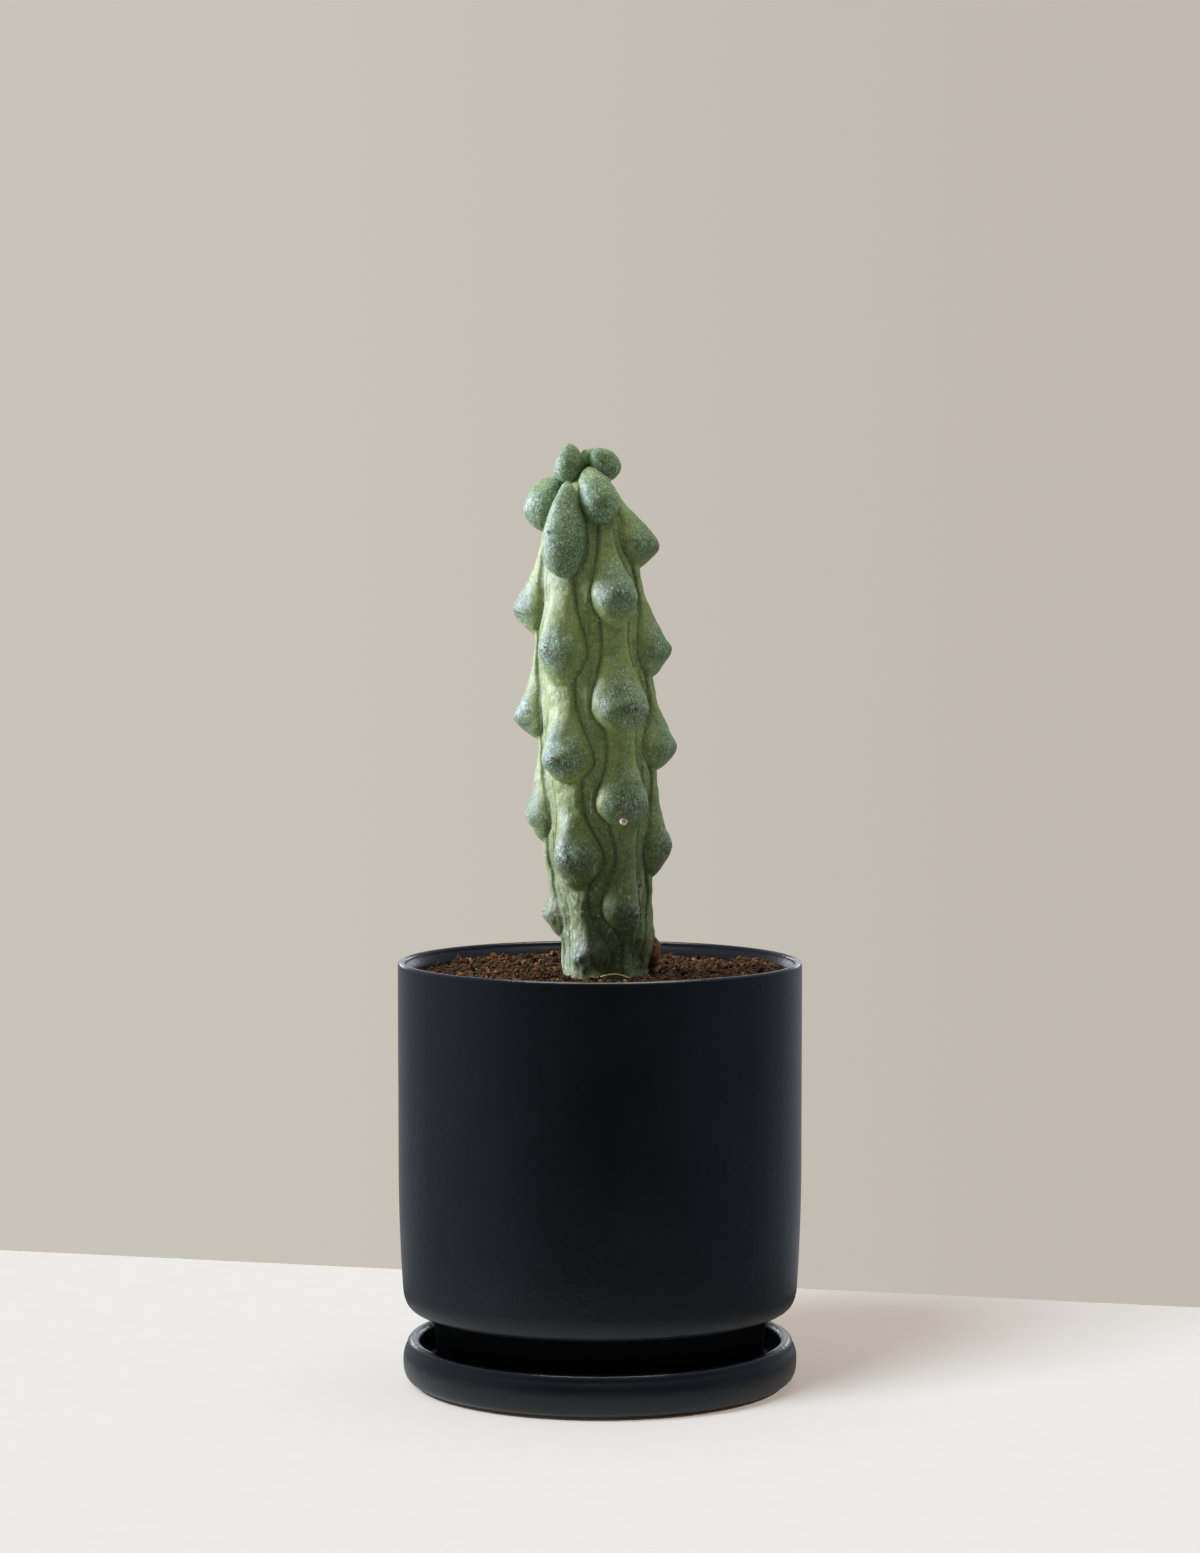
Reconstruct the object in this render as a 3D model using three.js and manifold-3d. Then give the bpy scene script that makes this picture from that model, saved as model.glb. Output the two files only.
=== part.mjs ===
// A potted boobie cactus: a column cactus with breast-shaped tubercles,
// in a matt black ceramic pot that stands on its drip saucer.
// Millimetres, +Z up. The origin is the centre of the saucer's underside, on the surface that it stands on.
// The front faces -Y. A turn is an angle about +Z in degrees, 0 at the front and positive towards +X.

import * as THREE from "three";
import { mergeVertices } from "three/addons/utils/BufferGeometryUtils.js";
import Module from "manifold-3d";

// Pot, by height and radius
const AROUND = 48; // facets round the pot, the saucer and the soil
const ARC_STEPS = 3;
const POT_RADIUS = 67.5;
const RIM_HEIGHT = 141.6;
const POT_WALL = 4.2;
const LIP_WIDTH = 2.5; // the wall narrows to this at the rim, by a bevel on its inside
const LIP_BEVEL = 3.6;
const BODY_BOTTOM = 25.5; // the level underside of the wide part
const BODY_BOTTOM_RADIUS = 61.5;
const TURN_IN_HEIGHT = 34; // where the wall turns in to that underside
const TURN_IN_RADIUS = 66.2;
const FULL_WIDTH_HEIGHT = 76; // from here up the wall is upright
const FOOT_RADIUS = 54.5;
const FOOT_TOP_RADIUS = 56;
const FOOT_RING_WIDTH = 7;
const FOOT_RECESS = 1.5;
const EDGE = 1; // bevels of the foot
const WELL_CHAMFER = 3; // where the ledge inside turns down into the well
const WELL_CORNER = 2; // where the well's wall meets its floor
const BASE_THICKNESS = 5.5;
const INSIDE_FILLET = 12;
const DRAIN_RADIUS = 7;

// Saucer
const SAUCER_RADIUS = 66;
const SAUCER_HEIGHT = 15.2;
const SAUCER_WIDEST = 8; // height of its largest radius
const SAUCER_FLOOR = 5.5; // the pot's foot stands on this floor
const SAUCER_LIP_RADIUS = 2.2;
const SAUCER_LIP_INSET = 1.3; // how far the wall leans in up to the lip
const SAUCER_WELL_RADIUS = 58.2;
const SAUCER_FOOT_RADIUS = 62;
const SAUCER_FOOT_WIDTH = 6;
const SAUCER_FOOT_HEIGHT = 1.4;

// Soil
const SOIL_LEVEL = 136.5; // at the column
const SOIL_EDGE_DROP = 0.5;
const SOIL_EDGE_CURVE = 5; // how late the fill drops towards the pot's wall
const SOIL_RIGHT_RISE = 1.8; // the fill is a little higher at the right
const SOIL_RISE_CURVE = 2.5;
const HEAP_AT = [-24, 46]; // and in a low heap at the back left
const HEAP_RADIUS = 22;
const HEAP_RISE = 1.5;
const SOIL_RINGS = 10;
const UNEVEN = [
  // height of the bumps, then the two waves whose product they are: radians per mm of x and y, and phase
  [0.35, [0.19, 0, 1.3], [0, 0.16, 0.4]],
  [0.21, [0.41, -0.33, 0], [0, 0, 1.57]],
  [0.45, [0.93, 0.37, 0], [-0.29, 0.88, 2]],
];
const HOLE_OVER = 6; // how far above the soil's level the tool of the column's hole ends
const CLEARANCE = 0.3; // from the soil to the pot's wall and to the column

// Column, by height: where its axis is, and how wide its body is between tubercles
const AXIS_X = [
  [100, 2.4], [138, 2], [150, 2.2], [168, 0.2], [202, -0.5], [233, -1.95], [270, -3.6], [310, -4],
];
const AXIS_Y = [[100, 0], [150, 0], [200, -0.8], [250, 0.3], [310, 1.2]];
const BODY = [
  [100, 10.5], [112, 12.4], [128, 13.6], [138, 14], [150, 15.1], [160, 16.3], [170, 17.5], [185, 18.8],
  [202, 19.4], [233, 19.5], [255, 18.7], [271, 17], [283, 15.2], [290, 13], [295, 10.6], [300, 7.4],
  [303, 4.4],
];
const COLUMN_FOOT = 100; // the cut end of the column, below the soil
const COLUMN_TOP = 304.5;
const COLUMN_END_RISE = 1.5;
const RIBBED_FROM = 136; // below this the buried foot is round
const RIBBED_OVER = 10; // the height over which the ribs come up out of it
const TOPPED_OVER = 14; // the height over which the valleys run out at the top
const VALLEY_DEPTH = 1.6;
const VALLEY_LOW_SHARE = 0.35; // of that depth, what the old foot of the column keeps
const OLD_FOOT = [150, 172]; // the heights between which the valleys get their depth

// Tubercles, row by row round the column. For each areole its height, its turn, how far it is from the
// column's axis, and how far its tubercle goes down from it to a fold and up from it to the rib
const ROWS = [
  [
    [143.6, -32, 18.2, 9, 25], [177.3, -29, 23.6, 11, 25], [209.7, -35, 26.8, 7.8, 25],
    [245.6, -40, 24.6, 12, 25], [281.6, -40, 20.6, 11, 25],
  ],
  [
    [159.2, 32, 20.3, 8.2, 25], [195.8, 28, 25.6, 10, 25], [226.7, 27.5, 27, 9, 25],
    [264.3, 26, 25.8, 11, 25],
  ],
  [
    [144.5, 86, 16.2, 5, 25], [180, 85, 24.5, 10.5, 25], [213, 85, 26.8, 7.6, 25],
    [245.9, 84, 26.2, 9.7, 25], [280, 84, 23.5, 7.6, 25],
  ],
  [
    [160.5, 147, 20.4, 9, 25], [193, 144, 25.4, 10, 25], [228.5, 146, 27, 8.5, 25],
    [262, 143, 25.8, 10, 25],
  ],
  [
    [145, 206, 17.4, 9, 25], [178, 203, 24.4, 10, 25], [210.5, 205, 27, 8, 25],
    [247, 203, 26.3, 11, 25], [281, 204, 23.4, 9, 25],
  ],
  [
    [157.4, 265, 20.9, 8.5, 10], [191, 263, 25, 10, 25], [222.7, 262, 27.5, 7.4, 25],
    [259.4, 263, 25.5, 9.5, 25],
  ],
];
const WIDENS_OVER = [-2, 25]; // the heights over its areole between which a tubercle narrows to its neck
const WIDE_SHARE = 0.88; // of a rib's share of the girth, how much a tubercle fills at its widest
const NECK_SHARE = 0.56; // and at its upper end
const LEFT_FILL = [0.84, 1, 1, 1, 1, 1]; // of that, how much its left half fills, row by row
const UPPER_CURVE = 2; // over 1, the slope down to the areole is hollow
const LOWER_CURVE = 0.7; // under 1, the underside is full
const SIDE_CURVE = 0.9;
const TIP_ROUNDING = 0.5;
const RIB_COLUMNS = 9; // columns of facets from one row of areoles to the next
const RING_STEP = 2.8;
const BURIED_RING_STEP = 8.4;

// Young lobes of the crown: turn, distance from the axis, twist, height, lean outwards, roll, then half
// length, half width and half depth
const CROWN_LOBES = [
  [-97, 12.2, 0, 293.8, 24, 0, 9.8, 7.3, 8.7],
  [20, 10.4, 0, 296.5, 30, 9, 10.3, 6.4, 6.2],
  [165, 11.5, 0, 295.5, 28, 0, 9.6, 7, 6.4],
  [-65, 6.8, 0, 306.8, 6, 0, 6.5, 4.8, 4.9],
  [55, 7.6, 0, 306.9, 20, 38, 6.1, 4.9, 4.8],
  [175, 7.2, 0, 306, 16, 0, 6.3, 5, 4.8],
  [-31, 15, 43, 285.2, 11, 0, 16, 7, 5.8],
  [-5, 1.9, 0, 308.4, 4, 0, 3.1, 2.1, 2],
  [115, 2.2, 0, 308.2, 4, 0, 2.9, 1.9, 1.9],
  [235, 2.2, 0, 307.8, 4, 0, 2.9, 1.9, 1.9],
];
const LOBE_AROUND = 12;
const LOBE_RINGS = 8;
const LOBE_FULLNESS = 0.22; // how much wider than an ellipsoid a lobe is low down
// Where the areole of each lobe is, but for the youngest three: side and latitude
const LOBE_AREOLES = [[-40, -10], [50, 20], [0, 10], [20, -28], [-45, -25], [0, 15], [-62, -8]];

// Spines of an areole: a small star with its root sunk in the skin
const SPINES_PER_AREOLE = 4;
const SPINE_LENGTH = 1.4;
const SPINE_SHORTEST = 0.8; // share of that length
const SPINE_LONGEST = 1.2;
const SPINE_SPREAD = 55; // from the way that the areole faces
const STAR_CORE_RADIUS = 0.5;
const STAR_CORE_HEIGHT = 0.7;
const STAR_ROOT_DEPTH = 1.8;
const SEED = 7;

// Materials: matt black ceramic, bark soil mix, waxy green skin
const ceramicBlack = new THREE.MeshStandardMaterial({ color: 0x17191c, roughness: 0.5, metalness: 0 });
const soilBrown = new THREE.MeshStandardMaterial({ color: 0x4a3122, roughness: 0.95, metalness: 0 });
const cactusGreen = new THREE.MeshStandardMaterial({ color: 0x7d9468, roughness: 0.6, metalness: 0 });

const wasm = await Module();
wasm.setup();

const radians = THREE.MathUtils.degToRad;
const smoothstep = THREE.MathUtils.smoothstep;

// A repeatable random number from 0 to 1.
let randomState = SEED;
function random() {
  randomState = (randomState * 16807) % 2147483647;
  return randomState / 2147483647;
}

// The value at x of a smooth curve through a table of [x, value].
function along(table, x) {
  const last = table.length - 1;
  if (x <= table[0][0]) return table[0][1];
  if (x >= table[last][0]) return table[last][1];
  const i = table.findIndex((row) => row[0] > x) - 1;
  const slope = (j) => {
    const a = table[Math.max(j - 1, 0)];
    const b = table[Math.min(j + 1, last)];
    return (b[1] - a[1]) / (b[0] - a[0]);
  };
  const span = table[i + 1][0] - table[i][0];
  const t = (x - table[i][0]) / span;
  const start = table[i][1] * (2 * t ** 3 - 3 * t ** 2 + 1) + slope(i) * span * (t ** 3 - 2 * t ** 2 + t);
  return start + table[i + 1][1] * (3 * t ** 2 - 2 * t ** 3) + slope(i + 1) * span * (t ** 3 - t ** 2);
}

// The direction of a turn, level.
function facing(turn) {
  return new THREE.Vector3(Math.sin(radians(turn)), -Math.cos(radians(turn)), 0);
}

function toSolid(geometry) {
  const bare = geometry.index ? geometry.toNonIndexed() : geometry.clone();
  bare.deleteAttribute("normal");
  bare.deleteAttribute("uv");
  const merged = mergeVertices(bare, 1e-4);
  const vertProperties = new Float32Array(merged.attributes.position.array);
  const triVerts = new Uint32Array(merged.index.array);
  return new wasm.Manifold(new wasm.Mesh({ numProp: 3, vertProperties, triVerts }));
}

function toGeometry(solid) {
  const mesh = solid.getMesh();
  const geometry = new THREE.BufferGeometry();
  geometry.setAttribute("position", new THREE.BufferAttribute(mesh.vertProperties, 3));
  geometry.setIndex(new THREE.BufferAttribute(mesh.triVerts, 1));
  geometry.computeVertexNormals();
  return geometry;
}

// A closed skin over rings of points from the bottom up, closed by a point at each end.
function skin(rings, bottom, top) {
  const around = rings[0].length;
  const points = [...rings.flat(), bottom, top];
  const [bottomAt, topAt] = [points.length - 2, points.length - 1];
  const index = [];
  for (let j = 0; j < around; j++) {
    const next = (j + 1) % around;
    index.push(bottomAt, next, j);
    for (let i = 0; i + 1 < rings.length; i++) {
      const low = i * around;
      const high = low + around;
      index.push(low + j, low + next, high + next);
      index.push(low + j, high + next, high + j);
    }
    const lastRing = (rings.length - 1) * around;
    index.push(topAt, lastRing + j, lastRing + next);
  }
  return new THREE.BufferGeometry().setFromPoints(points).setIndex(index);
}

// A body of revolution about +Z, from points of radius and height.
function turned(points) {
  return new THREE.LatheGeometry(points, AROUND).rotateX(Math.PI / 2);
}

// Drip saucer: flat floor, thick rounded wall, low foot ring
function saucerGeometry() {
  const ringInner = SAUCER_FOOT_RADIUS - SAUCER_FOOT_WIDTH;
  const lipCentre = SAUCER_RADIUS - SAUCER_LIP_INSET - SAUCER_LIP_RADIUS;
  const lipHeight = SAUCER_HEIGHT - SAUCER_LIP_RADIUS;
  const outline = new THREE.Path();
  outline.moveTo(0, SAUCER_FOOT_HEIGHT);
  outline.lineTo(ringInner - EDGE, SAUCER_FOOT_HEIGHT);
  outline.lineTo(ringInner, 0);
  outline.lineTo(SAUCER_FOOT_RADIUS, 0);
  outline.lineTo(SAUCER_FOOT_RADIUS, SAUCER_FOOT_HEIGHT);
  outline.quadraticCurveTo(SAUCER_RADIUS, SAUCER_FOOT_HEIGHT, SAUCER_RADIUS, SAUCER_WIDEST);
  outline.absarc(lipCentre, lipHeight, SAUCER_LIP_RADIUS, 0, Math.PI, false);
  outline.quadraticCurveTo(lipCentre - SAUCER_LIP_RADIUS, SAUCER_FLOOR, SAUCER_WELL_RADIUS, SAUCER_FLOOR);
  outline.lineTo(0, SAUCER_FLOOR);
  return turned(outline.getPoints(ARC_STEPS));
}

// Pot: plain cylinder with a rounded lip, turned in below to a narrower foot with a ring to stand on
const WIDENING_MIDDLE = (TURN_IN_HEIGHT + FULL_WIDTH_HEIGHT) / 2;
const POT_BORE = POT_RADIUS - POT_WALL;
const POT_BOTTOM = SAUCER_FLOOR;
const LEDGE_HEIGHT = BODY_BOTTOM + BASE_THICKNESS;
const WELL_FLOOR = POT_BOTTOM + BASE_THICKNESS;
const WELL_RADIUS = FOOT_RADIUS - POT_WALL;

// The inside of the pot, from its upright wall down over the ledge and into the well of the foot.
function potInside() {
  const outline = new THREE.Path();
  outline.moveTo(POT_BORE, LEDGE_HEIGHT + INSIDE_FILLET);
  outline.quadraticCurveTo(POT_BORE, LEDGE_HEIGHT, WELL_RADIUS + WELL_CHAMFER, LEDGE_HEIGHT);
  outline.lineTo(WELL_RADIUS, LEDGE_HEIGHT - WELL_CHAMFER);
  outline.lineTo(WELL_RADIUS, WELL_FLOOR + WELL_CORNER);
  outline.lineTo(WELL_RADIUS - WELL_CORNER, WELL_FLOOR);
  return outline.getPoints(ARC_STEPS);
}

function potGeometry() {
  const lipRadius = LIP_WIDTH / 2;
  const ringInner = FOOT_RADIUS - FOOT_RING_WIDTH;
  const outside = new THREE.Path();
  outside.moveTo(DRAIN_RADIUS, POT_BOTTOM + FOOT_RECESS);
  outside.lineTo(ringInner - EDGE, POT_BOTTOM + FOOT_RECESS);
  outside.lineTo(ringInner, POT_BOTTOM);
  outside.lineTo(FOOT_RADIUS - EDGE, POT_BOTTOM);
  outside.lineTo(FOOT_RADIUS, POT_BOTTOM + EDGE);
  outside.lineTo(FOOT_TOP_RADIUS, BODY_BOTTOM - EDGE);
  outside.lineTo(FOOT_TOP_RADIUS + EDGE, BODY_BOTTOM);
  outside.lineTo(BODY_BOTTOM_RADIUS, BODY_BOTTOM);
  outside.quadraticCurveTo(TURN_IN_RADIUS, BODY_BOTTOM, TURN_IN_RADIUS, TURN_IN_HEIGHT);
  outside.quadraticCurveTo(POT_RADIUS, WIDENING_MIDDLE, POT_RADIUS, FULL_WIDTH_HEIGHT);
  outside.absarc(POT_RADIUS - lipRadius, RIM_HEIGHT - lipRadius, lipRadius, 0, Math.PI, false);
  const bevelEnd = new THREE.Vector2(POT_BORE, RIM_HEIGHT - LIP_BEVEL);
  const drainTop = new THREE.Vector2(DRAIN_RADIUS, WELL_FLOOR);
  const drainBottom = new THREE.Vector2(DRAIN_RADIUS, POT_BOTTOM + FOOT_RECESS);
  return turned([...outside.getPoints(ARC_STEPS), bevelEnd, ...potInside(), drainTop, drainBottom]);
}

// Column: a rounded rib for each row, with a drop-shaped tubercle under each areole

// The smaller of two values, rounded over where they are alike.
function softLess(a, b, rounding) {
  const near = Math.max(rounding - Math.abs(a - b), 0) / rounding;
  return Math.min(a, b) - (rounding * near * near) / 4;
}

// How far a tubercle stands out of its rib, as a share of what its areole does.
// u is how far it is along the girth and w how far up from the areole, in mm. half is half the rib's girth.
function tubercleShape(u, w, half, underside, upside) {
  if (w > upside || w < -underside) return 0;
  const upper = ((upside - w) / upside) ** UPPER_CURVE;
  const lower = ((underside + w) / underside) ** LOWER_CURVE;
  const wide = w < 0 ? Math.sqrt(1 - (w / underside) ** 2) : 1;
  const narrowed = smoothstep(w, ...WIDENS_OVER);
  const across = Math.abs(u) / (half * wide * THREE.MathUtils.lerp(WIDE_SHARE, NECK_SHARE, narrowed));
  if (across >= 1) return 0;
  const ridge = Math.max(softLess(upper, lower, TIP_ROUNDING), 0) / (1 - TIP_ROUNDING / 4);
  return ridge * (1 - across ** 2) ** SIDE_CURVE;
}

// The turns at a height that a ring of the column has its points at: on each row, and evenly between rows.
function ringTurns(z) {
  const turns = ROWS.map((row) => along(row, z));
  return turns.flatMap((turn, k) => {
    const width = THREE.MathUtils.euclideanModulo(turns[(k + 1) % turns.length] - turn, 360);
    return Array.from({ length: RIB_COLUMNS }, (_, i) => turn + (width * i) / RIB_COLUMNS);
  });
}

// The column's radius at a turn and a height.
function columnRadius(turn, z) {
  const body = along(BODY, z);
  const ribbed = smoothstep(z, RIBBED_FROM, RIBBED_FROM + RIBBED_OVER);
  const valley =
    VALLEY_DEPTH *
    THREE.MathUtils.lerp(VALLEY_LOW_SHARE, 1, smoothstep(z, ...OLD_FOOT)) *
    smoothstep(COLUMN_TOP - z, 0, TOPPED_OVER);
  const turns = ROWS.map((row) => along(row, z));
  let gap = 0;
  let tubercle = 0;
  for (let k = 0; k < ROWS.length; k++) {
    const next = (k + 1) % ROWS.length;
    const width = THREE.MathUtils.euclideanModulo(turns[next] - turns[k], 360);
    const past = THREE.MathUtils.euclideanModulo(turn - turns[k], 360);
    if (past < width) gap = Math.sin((Math.PI * past) / width) ** 2;
    const away = THREE.MathUtils.euclideanModulo(turn - turns[k] + 180, 360) - 180;
    ROWS[k].forEach(([height, , reach, underside, upside]) => {
      const half = ((along(BODY, height) * Math.PI) / ROWS.length) * (away < 0 ? LEFT_FILL[k] : 1);
      const stand = reach - along(BODY, height);
      const shape = tubercleShape(radians(away) * body, z - height, half, underside, upside);
      tubercle = Math.max(tubercle, stand * shape);
    });
  }
  return body + ribbed * (tubercle - valley * gap);
}

// A point on the column's axis.
function axisPoint(z) {
  return new THREE.Vector3(along(AXIS_X, z), along(AXIS_Y, z), z);
}

function columnPoint(turn, z, grown = 0) {
  return facing(turn).multiplyScalar(columnRadius(turn, z) + grown).add(axisPoint(z));
}

// The column from its foot up to a height, grown all round, its top end raised to a low point.
function columnGeometry(top, grown, endRise) {
  const heights = [];
  for (let z = COLUMN_FOOT; z < top; z += z < RIBBED_FROM ? BURIED_RING_STEP : RING_STEP) heights.push(z);
  heights.push(top);
  const rings = heights.map((z) => ringTurns(z).map((turn) => columnPoint(turn, z, grown)));
  const end = axisPoint(top);
  return skin(rings, axisPoint(COLUMN_FOOT), end.setZ(top + endRise));
}

// Crown lobe: an egg that leans outwards, wider and fuller at its lower end
function lobePoint([turn, away, twist, height, lean, roll, halfLength, halfWidth, halfDepth], side, up) {
  const out = facing(turn + twist);
  const level = facing(turn + twist + 90);
  const upright = out.clone().multiplyScalar(-Math.sin(radians(lean)));
  upright.z = Math.cos(radians(lean));
  const [rollCos, rollSin] = [Math.cos(radians(roll)), Math.sin(radians(roll))];
  const long = upright.clone().multiplyScalar(rollCos).addScaledVector(level, -rollSin);
  const across = level.clone().multiplyScalar(rollCos).addScaledVector(upright, rollSin);
  const thick = new THREE.Vector3().crossVectors(across, long);
  if (thick.dot(out) < 0) thick.negate();
  const fullness = Math.cos(up) * (1 - LOBE_FULLNESS * Math.sin(up));
  return axisPoint(height)
    .addScaledVector(facing(turn), away)
    .addScaledVector(long, halfLength * Math.sin(up))
    .addScaledVector(across, halfWidth * fullness * Math.sin(side))
    .addScaledVector(thick, halfDepth * fullness * Math.cos(side));
}

function lobeGeometry(lobe) {
  const rings = [];
  for (let i = 1; i < LOBE_RINGS; i++) {
    const up = Math.PI * (i / LOBE_RINGS - 0.5);
    const side = (j) => (2 * Math.PI * j) / LOBE_AROUND;
    rings.push(Array.from({ length: LOBE_AROUND }, (_, j) => lobePoint(lobe, side(j), up)));
  }
  return skin(rings, lobePoint(lobe, 0, -Math.PI / 2), lobePoint(lobe, 0, Math.PI / 2));
}

// Areoles: where the spines stand, and the way that they face
function areoles() {
  const onColumn = ROWS.flatMap((row) =>
    row.map(([height, turn]) => ({ at: columnPoint(turn, height), out: facing(turn) })),
  );
  const onCrown = LOBE_AREOLES.map(([side, latitude], i) => {
    const at = lobePoint(CROWN_LOBES[i], radians(side), radians(latitude));
    const behind = lobePoint(CROWN_LOBES[i], radians(side + 180), radians(-latitude));
    return { at, out: at.clone().sub(behind).normalize() };
  });
  return [...onColumn, ...onCrown];
}

// A star of spines: a skin of one ring, whose points are by turns a spine's tip and the notch beside it.
function spineStar({ at, out }) {
  const first = 360 * random();
  const upright = new THREE.Vector3(0, 0, 1).addScaledVector(out, -out.z).normalize();
  const point = (turn, away, height) => {
    const way = upright.clone().applyAxisAngle(out, radians(turn));
    return at.clone().addScaledVector(way, away).addScaledVector(out, height);
  };
  const ring = [];
  for (let i = 0; i < SPINES_PER_AREOLE; i++) {
    const turn = first + (360 * i) / SPINES_PER_AREOLE;
    const length = SPINE_LENGTH * THREE.MathUtils.lerp(SPINE_SHORTEST, SPINE_LONGEST, random());
    const spread = radians(SPINE_SPREAD);
    ring.push(point(turn, length * Math.sin(spread), length * Math.cos(spread)));
    ring.push(point(turn + 180 / SPINES_PER_AREOLE, STAR_CORE_RADIUS, 0));
  }
  return skin([ring], point(0, 0, -STAR_ROOT_DEPTH), point(0, 0, STAR_CORE_HEIGHT));
}

function cactusSolid() {
  const column = toSolid(columnGeometry(COLUMN_TOP, 0, COLUMN_END_RISE));
  const grown = [...CROWN_LOBES.map(lobeGeometry), ...areoles().map(spineStar)];
  return grown.reduce((joined, geometry) => joined.add(toSolid(geometry)), column);
}

// Soil: the fill of the pot, mounded and uneven on top, with a plain hole where the column stands
function soilHeight(x, y) {
  const edgeDrop = SOIL_EDGE_DROP * (Math.hypot(x, y) / POT_BORE) ** SOIL_EDGE_CURVE;
  const rightRise = SOIL_RIGHT_RISE * (Math.max(x, 0) / POT_BORE) ** SOIL_RISE_CURVE;
  const fromHeap = Math.hypot(x - HEAP_AT[0], y - HEAP_AT[1]) / HEAP_RADIUS;
  const wave = ([alongX, alongY, phase]) => Math.sin(x * alongX + y * alongY + phase);
  const bumps = UNEVEN.reduce((sum, [height, one, other]) => sum + height * wave(one) * wave(other), 0);
  return SOIL_LEVEL + rightRise + HEAP_RISE * Math.exp(-(fromHeap ** 2)) - edgeDrop + bumps;
}

function soilSolid() {
  const ring = (radius, height) =>
    Array.from({ length: AROUND }, (_, j) => {
      const out = facing((360 * j) / AROUND).multiplyScalar(radius);
      return out.setZ(height ?? soilHeight(out.x, out.y));
    });
  const rings = potInside().reverse().map((inside) => ring(inside.x - CLEARANCE, inside.y));
  for (let i = SOIL_RINGS; i > 0; i--) rings.push(ring(((POT_BORE - CLEARANCE) * i) / SOIL_RINGS));
  const fill = skin(rings, new THREE.Vector3(0, 0, WELL_FLOOR), new THREE.Vector3(0, 0, soilHeight(0, 0)));
  return toSolid(fill).subtract(toSolid(columnGeometry(SOIL_LEVEL + HOLE_OVER, CLEARANCE, 0)));
}

function piece(name, geometry, material) {
  const mesh = new THREE.Mesh(geometry, material);
  mesh.name = name;
  return mesh;
}

const cactusInPot = new THREE.Group();
cactusInPot.add(
  piece("saucer", saucerGeometry(), ceramicBlack),
  piece("pot", potGeometry(), ceramicBlack),
  piece("soil", toGeometry(soilSolid()), soilBrown),
  piece("cactus", toGeometry(cactusSolid()), cactusGreen),
);

export default cactusInPot;
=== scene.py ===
# %% [markdown]
# # A potted boobie cactus
#
# The plant is a column cactus whose ribs swell into breast-shaped tubercles. It grows in a coarse
# bark mix, in a matt black ceramic pot on its drip saucer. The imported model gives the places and
# sizes. This lesson makes the surfaces that the eye sees: flesh with folds and furrows, spines in
# white wool, loose crumbs of bark, and a smooth black glaze.

# %% The fixed frame
import math

import bpy
import numpy as np
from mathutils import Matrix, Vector


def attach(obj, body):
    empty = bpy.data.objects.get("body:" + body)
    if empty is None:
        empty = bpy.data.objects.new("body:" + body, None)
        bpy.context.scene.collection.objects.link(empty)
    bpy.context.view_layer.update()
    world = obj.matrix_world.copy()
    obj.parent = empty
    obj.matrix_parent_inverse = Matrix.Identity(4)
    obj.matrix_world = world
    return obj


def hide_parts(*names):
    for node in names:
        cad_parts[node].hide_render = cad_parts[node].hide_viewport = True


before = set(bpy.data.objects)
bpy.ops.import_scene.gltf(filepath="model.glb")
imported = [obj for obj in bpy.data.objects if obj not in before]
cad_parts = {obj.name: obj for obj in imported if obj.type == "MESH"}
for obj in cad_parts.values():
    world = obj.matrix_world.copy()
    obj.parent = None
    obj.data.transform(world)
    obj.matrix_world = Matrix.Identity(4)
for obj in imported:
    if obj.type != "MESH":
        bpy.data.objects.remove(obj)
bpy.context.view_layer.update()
MM = 0.001
print("CAD nodes:", sorted(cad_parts))

# %% [markdown]
# ## Tables, noise and skins
#
# Most of this object is grown or turned, so three small tools make nearly all of it. A table gives
# a size at a few heights, and a smooth curve runs through it. A sum of seeded waves gives the soft
# unevenness of flesh and clay: it is quick, it has no seams, and it is the same on every run. A skin
# joins rings of points into one closed mesh, as a sock is knitted round by round. All sizes here are
# in millimetres, and only a finished mesh is written in Blender's metres.

# %% Smooth curves through tables
def along(table, x):
    """The value at x of a smooth curve through a table of [x, value]."""
    xs, ys = np.array(table, float).T
    slopes = np.empty(len(xs))
    slopes[1:-1] = (ys[2:] - ys[:-2]) / (xs[2:] - xs[:-2])
    slopes[0] = (ys[1] - ys[0]) / (xs[1] - xs[0])
    slopes[-1] = (ys[-1] - ys[-2]) / (xs[-1] - xs[-2])
    x = np.clip(np.asarray(x, float), xs[0], xs[-1])
    i = np.clip(np.searchsorted(xs, x, side="right") - 1, 0, len(xs) - 2)
    span = xs[i + 1] - xs[i]
    t = (x - xs[i]) / span
    value = ys[i] * (2 * t**3 - 3 * t**2 + 1) + slopes[i] * span * (t**3 - 2 * t**2 + t)
    return value + ys[i + 1] * (3 * t**2 - 2 * t**3) + slopes[i + 1] * span * (t**3 - t**2)


def smoothstep(x, low, high):
    t = np.clip((np.asarray(x, float) - low) / (high - low), 0, 1)
    return t * t * (3 - 2 * t)


def hump(x, width):
    """1 at x = 0, falling off evenly on both sides."""
    return np.exp(-((np.asarray(x, float) / width) ** 2))


# %% Seeded waves
def waves(points, size, seed, count=14):
    """Soft noise between about -1 and 1 at points in mm, with bumps about as far apart as size."""
    rng = np.random.default_rng(seed)
    ways = rng.normal(size=(count, 3))
    ways /= np.linalg.norm(ways, axis=1)[:, None]
    lengths = size * rng.uniform(0.7, 1.6, count)
    phases = rng.uniform(0, 2 * math.pi, count)
    total = np.zeros(len(points))
    for way, length, phase in zip(ways, lengths, phases):
        total += np.sin(points @ way * (2 * math.pi / length) + phase)
    return total / math.sqrt(count)


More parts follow.
